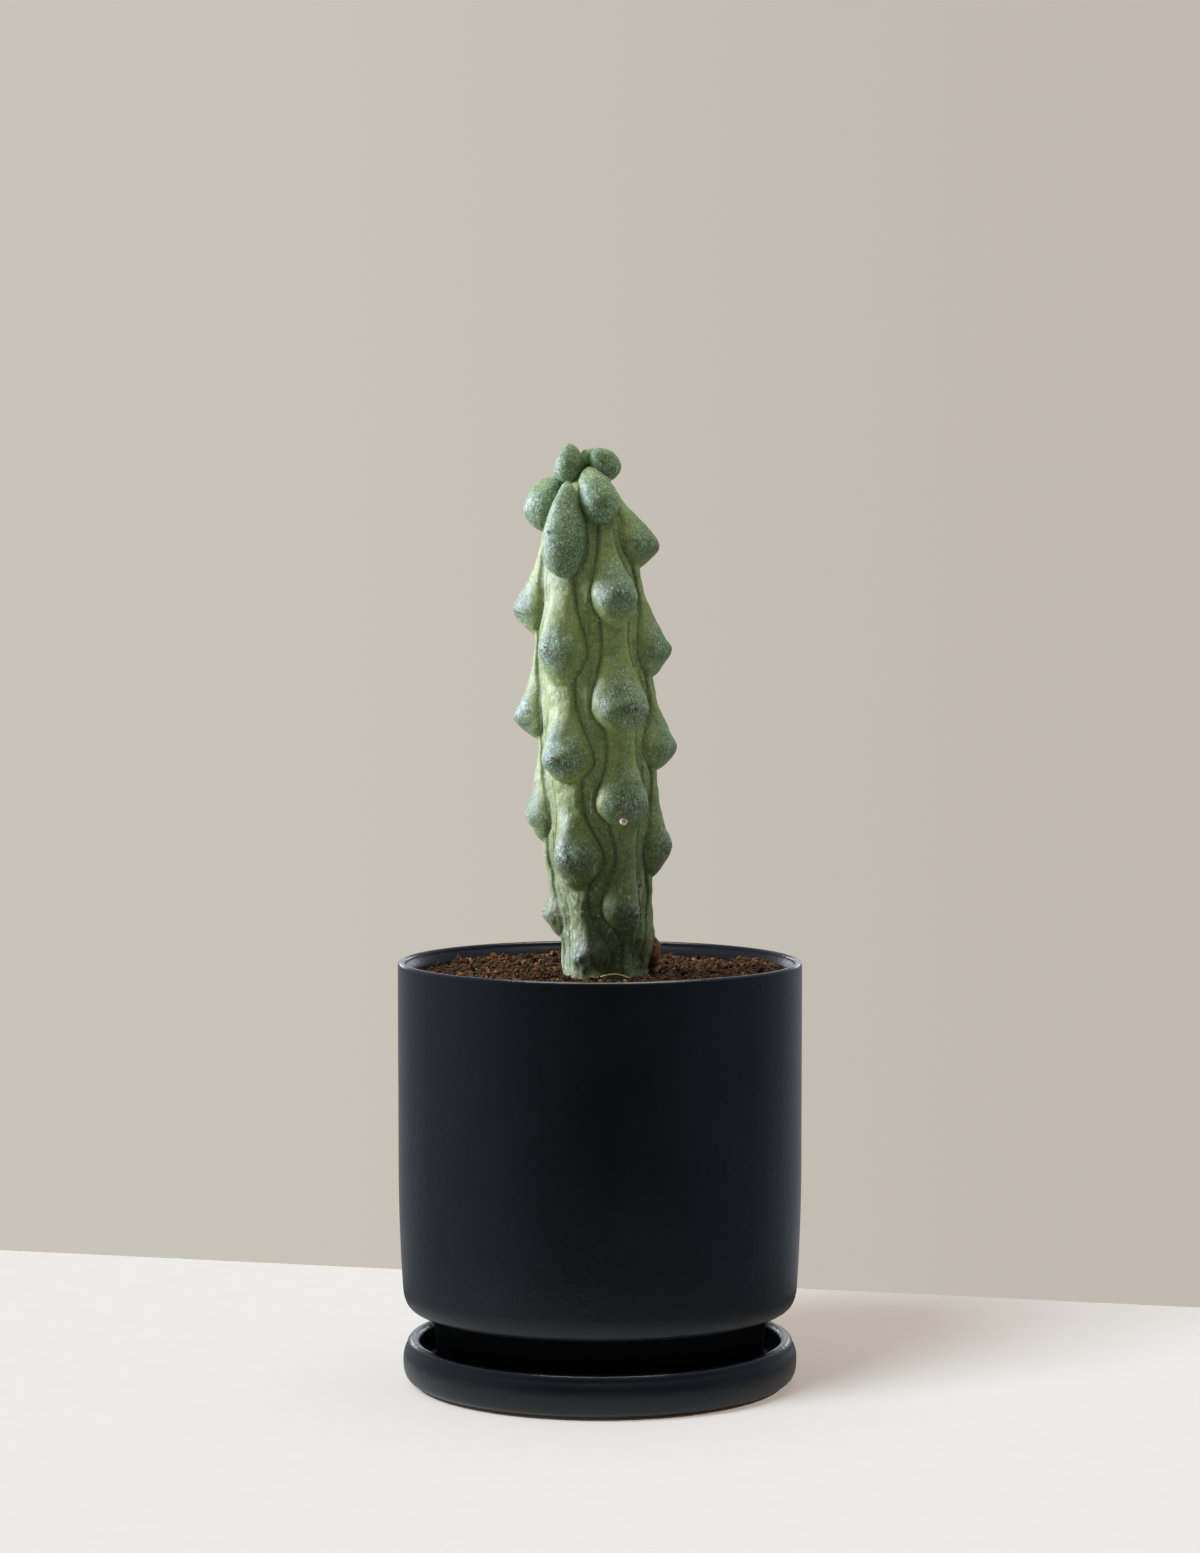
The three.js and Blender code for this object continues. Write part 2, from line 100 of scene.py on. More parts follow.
def layered(points, *layers):
    """Waves on waves. Each layer has its height and size in mm and its seed."""
    return sum(height * waves(points, size, seed) for height, size, seed in layers)


# %% Closed skins over rings
UP = np.array([0, 0, 1.0])


def circle(first, second, steps):
    """Directions evenly round a circle, from first towards second."""
    angle = 2 * math.pi * np.arange(steps)[:, None] / steps
    return np.cos(angle) * first + np.sin(angle) * second


def globe(latitude, ring, pole):
    """Rings of a round body at latitudes in radians, from its widest ring and the way to its top."""
    return np.cos(latitude)[:, None, None] * ring[None] + np.sin(latitude)[:, None, None] * pole


def skin_faces(rings, around):
    """Faces of a skin over rings of points, from the bottom up, with one point after them at each end."""
    j = np.arange(around)
    turn = (j + 1) % around
    bottom = rings * around
    low = (np.arange(rings - 1) * around)[:, None]
    quads = np.stack([low + j, low + turn, low + around + turn, low + around + j], axis=2).reshape(-1, 4)
    foot = np.stack([np.full(around, bottom), turn, j], axis=1)
    head = np.stack([np.full(around, bottom + 1), bottom - around + j, bottom - around + turn], axis=1)
    return quads, np.concatenate([foot, head])


NO_QUADS = np.empty((0, 4), int)
NO_TRIANGLES = np.empty((0, 3), int)


def add_mesh(name, points, quads, triangles, body="root"):
    """A smooth mesh from points in mm, which rides on the part's body."""
    mesh = bpy.data.meshes.new(name)
    loops = np.concatenate([quads.ravel(), triangles.ravel()])
    sides = np.concatenate([np.full(len(quads), 4), np.full(len(triangles), 3)])
    mesh.vertices.add(len(points))
    mesh.vertices.foreach_set("co", (np.asarray(points, float) * MM).astype(np.float32).ravel())
    mesh.loops.add(len(loops))
    mesh.loops.foreach_set("vertex_index", loops.astype(np.int32))
    mesh.polygons.add(len(sides))
    mesh.polygons.foreach_set("loop_start", (np.cumsum(sides) - sides).astype(np.int32))
    mesh.polygons.foreach_set("use_smooth", np.ones(len(sides), bool))
    mesh.update(calc_edges=True)
    mesh.validate()
    piece = bpy.data.objects.new(name, mesh)
    bpy.context.scene.collection.objects.link(piece)
    if body:
        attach(piece, body)
    return piece


def add_skin(name, rings, bottom, top, body="root"):
    """One closed mesh over an array of rings, shaped (rings, around, 3), closed by a point at each end."""
    points = np.concatenate([rings.reshape(-1, 3), [bottom, top]])
    return add_mesh(name, points, *skin_faces(rings.shape[0], rings.shape[1]), body=body)


def points_of(piece):
    """The vertices of a mesh, in mm."""
    co = np.empty(len(piece.data.vertices) * 3, np.float32)
    piece.data.vertices.foreach_get("co", co)
    return co.reshape(-1, 3) / MM


def mark(piece, name, values):
    """Keeps a number for each vertex under a name that a finish can read."""
    attribute = piece.data.attributes.new(name, "FLOAT", "POINT")
    attribute.data.foreach_set("value", np.asarray(values, np.float32))


def faceted(piece):
    """Leaves the edges of a mesh sharp."""
    piece.data.polygons.foreach_set("use_smooth", np.zeros(len(piece.data.polygons), bool))


def size_line(piece):
    mesh = piece.data
    mesh.calc_loop_triangles()
    return f"{piece.name}: {len(mesh.vertices)} vertices, {len(mesh.loop_triangles)} triangles"


# %% [markdown]
# ## The column
#
# A boobie cactus has the plan of any column cactus, a soft cylinder with six ribs, but each areole
# sits on a tubercle that swells out and hangs over a fold. Sculpting would give one plant and no
# reasons, so the column is worked out instead: its radius is a function of turn and height. Each
# rib owns the sector between two furrows. Between the pear-shaped edges of two ribs runs a narrow
# strip with a thin ridge, and the ribs alternate, so each swelling lies against its neighbours'
# necks.

# %% Where the ribs and areoles are
# The axis and the body's radius are tables over height. An areole has its height, its turn, its reach
# from the axis, and how far its tubercle runs down and up from it. Each rib has its own rise of the
# tip over the swelling, and how well its swellings fill the rib at the left.
AXIS_X = [[100, 2.4], [138, 2], [150, 2.2], [168, 0.2], [202, -0.5], [233, -1.95], [270, -3.6], [310, -4]]
AXIS_Y = [[100, 0], [150, 0], [200, -0.8], [250, 0.3], [310, 1.2]]
BODY = [
    [100, 10.5], [112, 12.4], [128, 13.6], [138, 14], [150, 15.1], [160, 16.3], [170, 17.5], [185, 18.8],
    [202, 19.4], [233, 19.5], [255, 18.7], [271, 17], [283, 15.2], [290, 13], [295, 10.6], [300, 7.4],
    [303, 4.4],
]
AREOLES = [
    [[143.6, -32, 18.2, 9, 25], [177.3, -29, 23.6, 11, 25], [209.7, -35, 26.8, 7.8, 25],
     [245.6, -40, 24.6, 12, 25], [281.6, -40, 20.6, 11, 25]],
    [[159.2, 32, 20.3, 8.2, 25], [195.8, 28, 25.6, 10, 25], [226.7, 27.5, 27, 9, 25],
     [264.3, 26, 25.8, 11, 25]],
    [[144.5, 86, 16.2, 5, 25], [180, 85, 24.5, 10.5, 25], [213, 85, 26.8, 7.6, 25],
     [245.9, 84, 26.2, 9.7, 25], [280, 84, 23.5, 7.6, 25]],
    [[160.5, 147, 20.4, 9, 25], [193, 144, 25.4, 10, 25], [228.5, 146, 27, 8.5, 25],
     [262, 143, 25.8, 10, 25]],
    [[145, 206, 17.4, 9, 25], [178, 203, 24.4, 10, 25], [210.5, 205, 27, 8, 25],
     [247, 203, 26.3, 11, 25], [281, 204, 23.4, 9, 25]],
    [[157.4, 265, 20.9, 8.5, 10], [191, 263, 25, 10, 25], [222.7, 262, 27.5, 7.4, 25],
     [259.4, 263, 25.5, 9.5, 25]],
]
TIP_RISES = [0.9, 0.7, 0.3, 0.5, 0.5, 0.4]
LEFT_FILL = [0.84, 1, 1, 1, 1, 1]
COLUMN_FOOT = 100
COLUMN_TOP = 304.5
COLUMN_END_RISE = 1.5
RIBBED_FROM = 136
print("areoles on the column:", sum(len(row) for row in AREOLES))

# %% Sizes of the relief
# A furrow wanders from the middle between two ribs by a table of degrees over height.
FURROW_SHIFT = [
    [[145, 10], [160, -6], [176, 6.5], [193, -4], [209, 2], [228, -1], [250, 4], [285, 9]],
    [[145, -9], [160, -8], [180, 0], [195, 3], [213, -3], [227, 7], [246, -2], [264, 4], [282, -11]],
    [[150, 3], [285, 0]],
    [[150, -4], [285, 2]],
    [[150, 4], [285, 0]],
    [[150, 0], [195, 0], [213, -3], [235, -3], [250, 0], [268, 6], [285, 3]],
]
FURROW_SWAY = 2.3
WIDEST_BELOW = 1.5
WIDE_SPAN = 9.5
STRIP_WIDTH = 2.6
NECK_SHARE = 0.64
NECK_END_SHARE = 0.95
NECK_FROM = -2
RIB_RISE = 1.4
NECK_FLATNESS = 2.5
GROOVE_DEPTH = 0.4
GROOVE_WIDTH = 0.4
RIDGE_RISE = 0.35
RIDGE_WIDTH = 0.5
RIBS_GROW_OVER = 12
RIBS_FADE_OVER = 14
OLD_RELIEF = 0.35
OLD_SKIN = (150, 172)
UPPER_CURVE = 2.0
LOWER_CURVE = 0.7
SIDE_CURVE = 0.9
TIP_ROUNDING = 0.5
TIP_REACH = 5.5
TIP_BLUNTNESS = 0.8
TIP_HOLLOW = 1.4


def rib_turns(z):
    """The turn of each rib's middle at heights z, shaped (ribs, heights)."""
    return np.array([along([areole[:2] for areole in row], z) for row in AREOLES])


def furrow_turns(z):
    """The turn of the furrow after each rib. It keeps away from the rib that is widest at that height."""
    turns = rib_turns(z)
    full = np.array([
        np.clip(sum(hump(z - height + WIDEST_BELOW, WIDE_SPAN) for height, *_ in row), 0, 1)
        for row in AREOLES
    ])
    gap = np.mod(np.roll(turns, -1, axis=0) - turns, 360)
    shift = np.array([along(table, z) for table in FURROW_SHIFT])
    return turns + gap / 2 + shift + FURROW_SWAY * (full - np.roll(full, -1, axis=0))


def pear(w, underside, upper):
    """How wide a tubercle is w mm up from its areole, as a share of its widest."""
    above = 1 - (1 - NECK_SHARE) * smoothstep(w, NECK_FROM, upper)
    below = np.sqrt(np.clip(1 - (w / underside) ** 2, 0, 1))
    return np.where(w >= 0, above, below)


def rib_spread(k, z):
    """How wide rib k is at heights z, as a share of its widest."""
    spread = np.full(np.shape(z), NECK_SHARE)
    for height, _, _, underside, upper in AREOLES[k]:
        here = z - height < upper
        spread = np.maximum(spread, np.where(here, pear(z - height, underside, upper), 0))
    return spread


# %% The column's surface
def soft_less(a, b, rounding):
    """The smaller of two values, rounded over where they are alike."""
    near = np.clip(rounding - np.abs(a - b), 0, None) / rounding
    return np.minimum(a, b) - rounding * near * near / 4


def tubercle_ridge(w, underside, upper):
    """The profile of a tubercle, w mm up its rib from the areole: 1 at the areole, 0 at both ends."""
    above = np.clip((upper - w) / upper, 0, 1.4) ** UPPER_CURVE
    below = np.clip((underside + w) / underside, 0, None) ** LOWER_CURVE
    return np.clip(soft_less(above, below, TIP_ROUNDING), 0, None) / (1 - TIP_ROUNDING / 4)


def column_at(turn, z):
    """For arrays of turn in degrees and height in mm: the radius in mm, and facts for the finish."""
    shape = np.broadcast(turn, z).shape
    turn, z = np.broadcast_to(turn, shape).ravel(), np.broadcast_to(z, shape).ravel()
    body = along(BODY, z)
    turns, furrows = rib_turns(z), furrow_turns(z)
    ribbed = smoothstep(z, RIBBED_FROM - 2, RIBBED_FROM - 2 + RIBS_GROW_OVER)
    shown = OLD_RELIEF + (1 - OLD_RELIEF) * smoothstep(z, *OLD_SKIN)
    shown = smoothstep(COLUMN_TOP - z, 0, RIBS_FADE_OVER) * shown
    rise, swelling, tip, to_edge = np.zeros((4, len(z)))
    for k, row in enumerate(AREOLES):
        away = np.mod(turn - turns[k] + 180, 360) - 180
        after = np.mod(furrows[k] - turns[k], 360)
        before = np.mod(turns[k] - furrows[k - 1], 360)
        side = np.where(away >= 0, after, before)
        mine = np.abs(away) <= side
        room = np.radians(side) * body
        u = np.radians(np.abs(away)) * body
        wide = np.clip(room - STRIP_WIDTH / 2, 1, None)
        spread = rib_spread(k, z)
        edge = wide * spread
        flatness = 2 + NECK_FLATNESS * (1 - smoothstep(spread, NECK_SHARE, NECK_END_SHARE))
        relief = np.sqrt(1 - np.clip(u / edge, 0, 1) ** flatness)
        groove = GROOVE_DEPTH * hump(u - edge, GROOVE_WIDTH)
        rib = RIB_RISE * (relief - 1) - groove + RIDGE_RISE * hump(room - u, RIDGE_WIDTH)
        dome, cone = np.zeros((2, len(z)))
        filled = wide * np.where(away < 0, LEFT_FILL[k], 1)
        for height, _, reach, underside, upper in row:
            w = z - height
            stand = reach - along(BODY, height)
            here = (w < upper) & (w > -underside)
            across = np.clip(u / np.clip(filled * pear(w, underside, upper), 0.01, None), 0, 1)
            ridge = tubercle_ridge(w, underside, upper)
            swell = (stand - TIP_RISES[k]) * ridge * (1 - across**2) ** SIDE_CURVE
            from_tip = np.hypot(u, np.hypot(w, TIP_BLUNTNESS))
            point = np.clip(1 - from_tip / TIP_REACH, 0, 1) ** TIP_HOLLOW
            dome = np.maximum(dome, np.where(here, swell + TIP_RISES[k] * point, 0))
            cone = np.maximum(cone, point)
        rise = np.where(mine, rib * shown + dome, rise)
        swelling = np.where(mine, dome, swelling)
        tip = np.where(mine, cone, tip)
        to_edge = np.where(mine, u - edge, to_edge)
    radius = body + ribbed * rise
    facts = {"swelling": swelling, "tip": tip, "to_edge": to_edge}
    return radius.reshape(shape), {name: value.reshape(shape) for name, value in facts.items()}


def axis_at(z):
    z = np.asarray(z, float)
    return np.stack([along(AXIS_X, z), along(AXIS_Y, z), z], axis=-1)


def facing(turn):
    """The level direction of a turn: 0 faces the front, -Y, and 90 faces +X."""
    angle = np.radians(np.asarray(turn, float))
    return np.stack([np.sin(angle), -np.cos(angle), np.zeros_like(angle)], axis=-1)


# %% Soft unevenness
SKIN_LAYERS = [(0.3, 13, 31), (0.12, 4.6, 32), (0.04, 1.8, 33)]
WRINKLED = (150, 178)


def uneven(points, amount=1):
    """How far and which way the skin lies out of true at points: broad swellings and small wrinkles."""
    out = points - axis_at(points[:, 2])
    out /= np.linalg.norm(out, axis=1)[:, None] + 1e-9
    low = 1 - smoothstep(points[:, 2], *WRINKLED)
    tall_waves = 0.25 * waves(points * [1, 1, 0.6], 6, 34) + 0.1 * waves(points * [1, 1, 0.5], 2.4, 35)
    return out * ((layered(points, *SKIN_LAYERS) + low * tall_waves) * amount)[:, None]


# %% The column's mesh, with its lines of points along ribs and furrows
EDGE_STEPS = 17
STRIP_STEPS = 6
COLUMN_STEP = 0.57
BURIED_STEP = 4.0


def column_turns(z):
    """The turns of the points round the column at heights z, shaped (heights, around). Each rib has a line
    of points on each of its edges and on the furrow before it, so folds stay crisp."""
    turns, furrows, body = rib_turns(z), furrow_turns(z), along(BODY, z)
    inner = np.arange(1, EDGE_STEPS + 1) / EDGE_STEPS
    outer = np.arange(1, STRIP_STEPS) / STRIP_STEPS
    lines = []
    for k in range(len(AREOLES)):
        spread = rib_spread(k, z)
        for way, furrow in ((-1, furrows[k - 1]), (1, furrows[k])):
            side = np.mod(way * (furrow - turns[k]), 360)
            wide = np.clip(side - np.degrees(STRIP_WIDTH / 2 / body), 1, None)
            edge = (wide * spread)[:, None]
            half = np.concatenate([edge * inner, edge + (side[:, None] - edge) * outer], axis=1)
            if way < 0:
                lines += [turns[k][:, None] - side[:, None], turns[k][:, None] - half[:, ::-1]]
            else:
                lines += [turns[k][:, None], turns[k][:, None] + half]
    return np.concatenate(lines, axis=1)


heights = np.concatenate([
    np.arange(COLUMN_FOOT, RIBBED_FROM - 2, BURIED_STEP),
    np.arange(RIBBED_FROM - 2, COLUMN_TOP, COLUMN_STEP),
    [COLUMN_TOP],
])
grid_turn = column_turns(heights)
grid_z = np.repeat(heights[:, None], grid_turn.shape[1], axis=1)
radius, _ = column_at(grid_turn, grid_z)
rings = facing(grid_turn) * radius[..., None] + axis_at(grid_z)
ribbed = smoothstep(grid_z.ravel(), RIBBED_FROM - 3, RIBBED_FROM + 4)
rings += uneven(rings.reshape(-1, 3), ribbed).reshape(rings.shape)
column = add_skin("cactus_flesh", rings, axis_at(COLUMN_FOOT), axis_at(COLUMN_TOP) + UP * COLUMN_END_RISE)
print(size_line(column))

# %% [markdown]
# ## The crown
#
# At the top the youngest tubercles haven't stretched apart yet. They crowd as smooth eggs, each
# pressed against the next, with sharp creases between. A height on a cylinder can't fold under
# itself as they do, so each lobe is a closed egg of its own, and a Boolean union with the exact
# creases of real contact joins them to the column.

# %% Young lobes
# A lobe has its turn and its distance from the axis, a twist, its height, how far it leans and rolls,
# half its length, width and depth, and how much fuller it is below. All but the last three, the
# freshest, bear an areole, with its side and latitude on the lobe and its longest spine.
CROWN_LOBES = [
    [-97, 12.2, 0, 293.8, 24, 0, 9.8, 7.3, 8.7, 0.22],
    [16, 10.3, 0, 296.5, 30, 9, 10.3, 6.4, 6.2, 0.22],
    [165, 11.5, 0, 295.5, 28, 0, 9.6, 7, 6.4, 0.22],
    [-65, 6.8, 0, 306.8, 6, 0, 6.5, 4.8, 4.9, 0.22],
    [52, 6.6, 0, 306.9, 20, 36, 6.1, 4.9, 4.8, 0.22],
    [175, 7.2, 0, 306, 16, 0, 6.3, 5, 4.8, 0.22],
    [-30, 15, 42, 285, 11, -5, 16.2, 7.1, 5.8, 0.42],
    [-30, 2, 0, 308.4, 4, 0, 3.1, 2.1, 2, 0.22],
    [115, 2.2, 0, 308.2, 4, 0, 2.9, 1.9, 1.9, 0.22],
    [235, 2.2, 0, 307.8, 4, 0, 2.9, 1.9, 1.9, 0.22],
]
LOBE_AREOLES = [
    [-40, -10, 1.0], [50, 20, 1.9], [0, 10, 1.0], [20, -28, 1.2], [-45, -25, 1.0], [0, 15, 1.0],
    [-62, -8, 2.2],
]
FRESHEST = slice(len(LOBE_AREOLES), None)
LOBE_AROUND = 50
LOBE_RINGS = 34


def lobe_frame(lobe):
    """The centre of a lobe and its three directions: along, across and outwards."""
    turn, away, twist, height, lean, roll = lobe[:6]
    out = facing(turn + twist)
    lean, roll = math.radians(lean), math.radians(roll)
    upright = -out * math.sin(lean) + UP * math.cos(lean)
    level = facing(turn + twist + 90)
    long = upright * math.cos(roll) - level * math.sin(roll)
    across = level * math.cos(roll) + upright * math.sin(roll)
    thick = np.cross(across, long)
    thick *= np.sign(thick @ out)
    return axis_at(height) + facing(turn) * away, long, across, thick


def lobe_points(lobe, side, latitude):
    """Points of a lobe, by the side round it from its outer face and the latitude, in radians."""
    centre, long, across, thick = lobe_frame(lobe)
    half_length, half_width, half_depth, fullness = lobe[6:]
    side, latitude = np.broadcast_arrays(side, latitude)
    wide = np.cos(latitude) * (1 - fullness * np.sin(latitude))
    return (
        centre
        + long * (half_length * np.sin(latitude))[..., None]
        + across * (half_width * wide * np.sin(side))[..., None]
        + thick * (half_depth * wide * np.cos(side))[..., None]
    )


lobes = []
latitude = math.pi * (np.arange(1, LOBE_RINGS) / LOBE_RINGS - 0.5)
side = 2 * math.pi * np.arange(LOBE_AROUND) / LOBE_AROUND
for number, lobe in enumerate(CROWN_LOBES):
    grid = lobe_points(lobe, side[None, :], latitude[:, None])
    flat = grid.reshape(-1, 3)
    out = flat - lobe_frame(lobe)[0]
    out /= np.linalg.norm(out, axis=1)[:, None]
    flat = flat + out * layered(flat, (0.14, 6, 50 + number), (0.04, 2, 70 + number))[:, None]
    ends = lobe_points(lobe, np.zeros(2), np.array([-math.pi / 2, math.pi / 2]))
    lobes.append(add_skin(f"lobe_{number}", flat.reshape(grid.shape), *ends, body=None))
print(len(lobes), "young lobes,", size_line(lobes[0]))

# %% Joined to the column
def join_by_union(piece, others):
    """Joins closed meshes to a piece with one Boolean, and drops them."""
    collection = bpy.data.collections.new(piece.name + "_grown")
    bpy.context.scene.collection.children.link(collection)
    for other in others:
        bpy.context.scene.collection.objects.unlink(other)
        collection.objects.link(other)
    union = piece.modifiers.new("union", "BOOLEAN")
    union.operation = "UNION"
    union.operand_type = "COLLECTION"
    union.collection = collection
    union.solver = "MANIFOLD"
    depsgraph = bpy.context.evaluated_depsgraph_get()
    joined = bpy.data.meshes.new_from_object(piece.evaluated_get(depsgraph))
    piece.modifiers.clear()
    piece.data = joined
    for other in others:
        bpy.data.objects.remove(other)
    bpy.data.collections.remove(collection)


join_by_union(column, lobes)
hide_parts("cactus")
print(size_line(column))

# %% What the skin's finish needs to know
LOBE_GROWN = 1.03
LOBE_FADE = 0.05
FULL_SWELLING = 6
CORK_TURN = 86
CORK_LEVEL = 145.4
CORK_AWAY = 16
CORK_SPREAD = (6, 6, 8)


def lobe_share(points, lobe):
    """How surely points lie on a lobe: 1 on its surface or inside, 0 away from it."""
    centre, long, across, thick = lobe_frame(lobe)
    half_length, half_width, half_depth, fullness = lobe[6:]
    offset = points - centre
    up = offset @ long / half_length
    wide = 1 - fullness * np.clip(up, -1, 1)
    level = np.hypot(offset @ across / (half_width * wide), offset @ thick / (half_depth * wide))
    return smoothstep(-np.hypot(up, level), -LOBE_GROWN - LOBE_FADE, -LOBE_GROWN)


skin_points = points_of(column)
centres = axis_at(skin_points[:, 2])
skin_turn = np.degrees(np.arctan2(skin_points[:, 0] - centres[:, 0], centres[:, 1] - skin_points[:, 1]))
_, facts = column_at(skin_turn, skin_points[:, 2])
lobe_shares = np.array([lobe_share(skin_points, lobe) for lobe in CROWN_LOBES])
young = np.max(lobe_shares, axis=0)
old = 1 - young
mark(column, "young", young)
mark(column, "fresh", np.max(lobe_shares[FRESHEST], axis=0))
mark(column, "swelling", np.clip(facts["swelling"] / FULL_SWELLING, 0, 1) * old)
mark(column, "tip", facts["tip"] * old)
mark(column, "furrow", hump(facts["to_edge"], 0.6) * old)
mark(column, "strip", smoothstep(facts["to_edge"], -0.3, 0.5) * old)
cork_centre = axis_at(CORK_LEVEL) + facing(CORK_TURN) * CORK_AWAY
from_cork = np.linalg.norm((skin_points - cork_centre) / CORK_SPREAD, axis=1)
mark(column, "corked", 1 - smoothstep(from_cork, 0.45, 1))
print("share of the skin on young lobes:", round(float(young.mean()), 3))

# %% [markdown]
# ## Areoles, spines and wool
#
# Every tubercle ends in an areole, a cushion of white wool under a millimetre across, from which a
# few short dark spines spread like a star. Hair particles wouldn't survive the export, so each
# spine and each tuft of wool is a thin tapered cone, bent a little, with its root in the flesh.

# %% Where the areoles are, and which way they face
BARE_AREOLES = [(144.5, 86), (281.6, -40)]
FRONT_ROWS = 2
LOW_AREOLES = 150
LONG_SPINES = 2.2
SHORT_SPINES = 1.0
SPINE_DROOP = 0.12


def on_skin(turn, height, depth=0.0):
    """A point on the column's skin, or that deep under it."""
    radius, _ = column_at(np.array([turn]), np.array([height]))
    at = facing(turn) * (radius[0] - depth) + axis_at(height)
    return at + uneven(at[None])[0]


def areoles():
    """Place, outward direction and longest spine of each areole."""
    found = []
    for k, row in enumerate(AREOLES):
        for height, turn, *_ in row:
            if (height, turn) in BARE_AREOLES:
                continue
            longest = LONG_SPINES if k < FRONT_ROWS and height > LOW_AREOLES else SHORT_SPINES
            found.append((on_skin(turn, height), facing(turn) - UP * SPINE_DROOP, longest))
    for lobe, (side, latitude, longest) in zip(CROWN_LOBES, LOBE_AREOLES):
        side, latitude = np.radians([side, latitude])
        at = lobe_points(lobe, side, latitude)
        found.append((at, at - lobe_points(lobe, side + math.pi, -latitude), longest))
    return [(at, out / np.linalg.norm(out), longest) for at, out, longest in found]


def bent_cone(root, way, bend, length, radius, sides=5, steps=4):
    """A thin cone from root along way, bent towards bend: its points, quads and triangles."""
    way = way / np.linalg.norm(way)
    first = np.cross(way, [0.3, 0.5, 0.81])
    first /= np.linalg.norm(first)
    ring = circle(first, np.cross(way, first), sides)
    share = np.arange(steps) / steps
    spine_line = root + np.outer(share * length, way) + np.outer(share**2 * length, bend)
    rings = spine_line[:, None, :] + ring[None, :, :] * (radius * (1 - share) ** 0.8)[:, None, None]
    tip = root + way * length + bend * length
    points = np.concatenate([rings.reshape(-1, 3), [root, tip]])
    return points, *skin_faces(steps, sides)


def add_cones(name, cones):
    """One mesh of many bent cones."""
    points, quads, triangles, start = [], [], [], 0
    for cone_points, cone_quads, cone_triangles in cones:
        points.append(cone_points)
        quads.append(cone_quads + start)
        triangles.append(cone_triangles + start)
        start += len(cone_points)
    return add_mesh(name, np.concatenate(points), np.concatenate(quads), np.concatenate(triangles))


# %% Spines and wool
SPINE_RADIUS = 0.13
SPINE_SPREAD = (48, 68)
SPINE_BEND = (-0.1, 0.16)
WOOL_RADIUS = 0.09
WOOL_LENGTH = (0.45, 0.9)
WOOL_HAIRS = 44

rng = np.random.default_rng(7)
spine_cones, wool_cones = [], []
for at, out, longest in areoles():
    upright = UP - out * out[2]
    upright /= np.linalg.norm(upright)
    beside = np.cross(out, upright)
    count = int(rng.integers(4, 6))
    first = rng.uniform(0, 2 * math.pi)
    for i in range(count):
        angle = first + 2 * math.pi * (i + rng.uniform(-0.15, 0.15)) / count
        spread = math.radians(rng.uniform(*SPINE_SPREAD))
        level = upright * math.cos(angle) + beside * math.sin(angle)
        way = out * math.cos(spread) + level * math.sin(spread)
        length = longest * rng.uniform(0.6, 1)
        root = at - out * 0.5 + level * 0.2
        bend = level * rng.uniform(*SPINE_BEND)
        spine_cones.append(bent_cone(root, way, bend, length, SPINE_RADIUS * longest))
    for _ in range(WOOL_HAIRS):
        angle = rng.uniform(0, 2 * math.pi)
        level = upright * math.cos(angle) + beside * math.sin(angle)
        grown = longest / LONG_SPINES
        root = at - out * 0.25 + level * rng.uniform(0, 0.8) * grown
        way = out * rng.uniform(0.4, 1) + level * rng.uniform(0.1, 0.9)
        bend = rng.normal(size=3) * 0.3
        length = rng.uniform(*WOOL_LENGTH) * grown + 0.1
        wool_cones.append(bent_cone(root, way, bend, length, WOOL_RADIUS, sides=3, steps=3))

spines = add_cones("areole_spines", spine_cones)
wool = add_cones("areole_wool", wool_cones)
for piece in (spines, wool):
    print(size_line(piece))

# %% [markdown]
# ## Pot and saucer
#
# The pot was thrown or pressed on a wheel, so its outline turned about the axis is the whole shape.
# Blender's Screw modifier could turn it, but a skin of rings keeps the mesh closed and its points
# in order. The outline has real roundings of a few millimetres, which catch the light as thin
# lines. A very slight waviness keeps the reflections from looking ruled.

# %% Outlines of radius and height, in mm
POT_RADIUS = 67.5
RIM_HEIGHT = 141.6
POT_WALL = 4.2
BORE = POT_RADIUS - POT_WALL
LIP_WIDTH = 2.5
LIP_BEVEL = 5.2
BEVEL_PULL = 1.6
BODY_BOTTOM = 25.5
BODY_BOTTOM_RADIUS = 61.5
TURN_IN_HEIGHT = 34
TURN_IN_RADIUS = 66.2
FULL_WIDTH_HEIGHT = 76
FOOT_RADIUS = 54.5
FOOT_TOP_RADIUS = 56
FOOT_RING_WIDTH = 7
FOOT_RECESS = 1.5
EDGE = 1
BASE_THICKNESS = 5.5
INSIDE_FILLET = 12
DRAIN_RADIUS = 7
SAUCER_RADIUS = 66
SAUCER_HEIGHT = 15.2
SAUCER_WIDEST = 8
SAUCER_FLOOR = 5.5
SAUCER_LIP_RADIUS = 2.2
SAUCER_LIP_INSET = 1.3
SAUCER_WELL_RADIUS = 58.2
SAUCER_FOOT_RADIUS = 62
SAUCER_FOOT_WIDTH = 6
SAUCER_FOOT_HEIGHT = 1.4
TURNED_AROUND = 256


def path(start, *moves):
    """Points along moves. A move has its steps, its end and, for a rounding, the corner that pulls it."""
    points = []
    start = np.array(start, float)
    for steps, end, *corner in moves:
        t = np.arange(steps)[:, None] / steps
        end = np.array(end, float)
        if corner:
            points.append(start * (1 - t) ** 2 + 2 * np.array(corner[0]) * t * (1 - t) + end * t**2)
        else:
            points.append(start * (1 - t) + end * t)
        start = end
    return np.concatenate(points + [[start]])


def over_the_lip(outer, height, radius, steps=16):
    """Points of the half circle over a lip, from its outer side."""
    angle = np.radians(180 * np.arange(steps) / steps)
    return np.array([outer - radius, height]) + radius * np.stack([np.cos(angle), np.sin(angle)], axis=1)


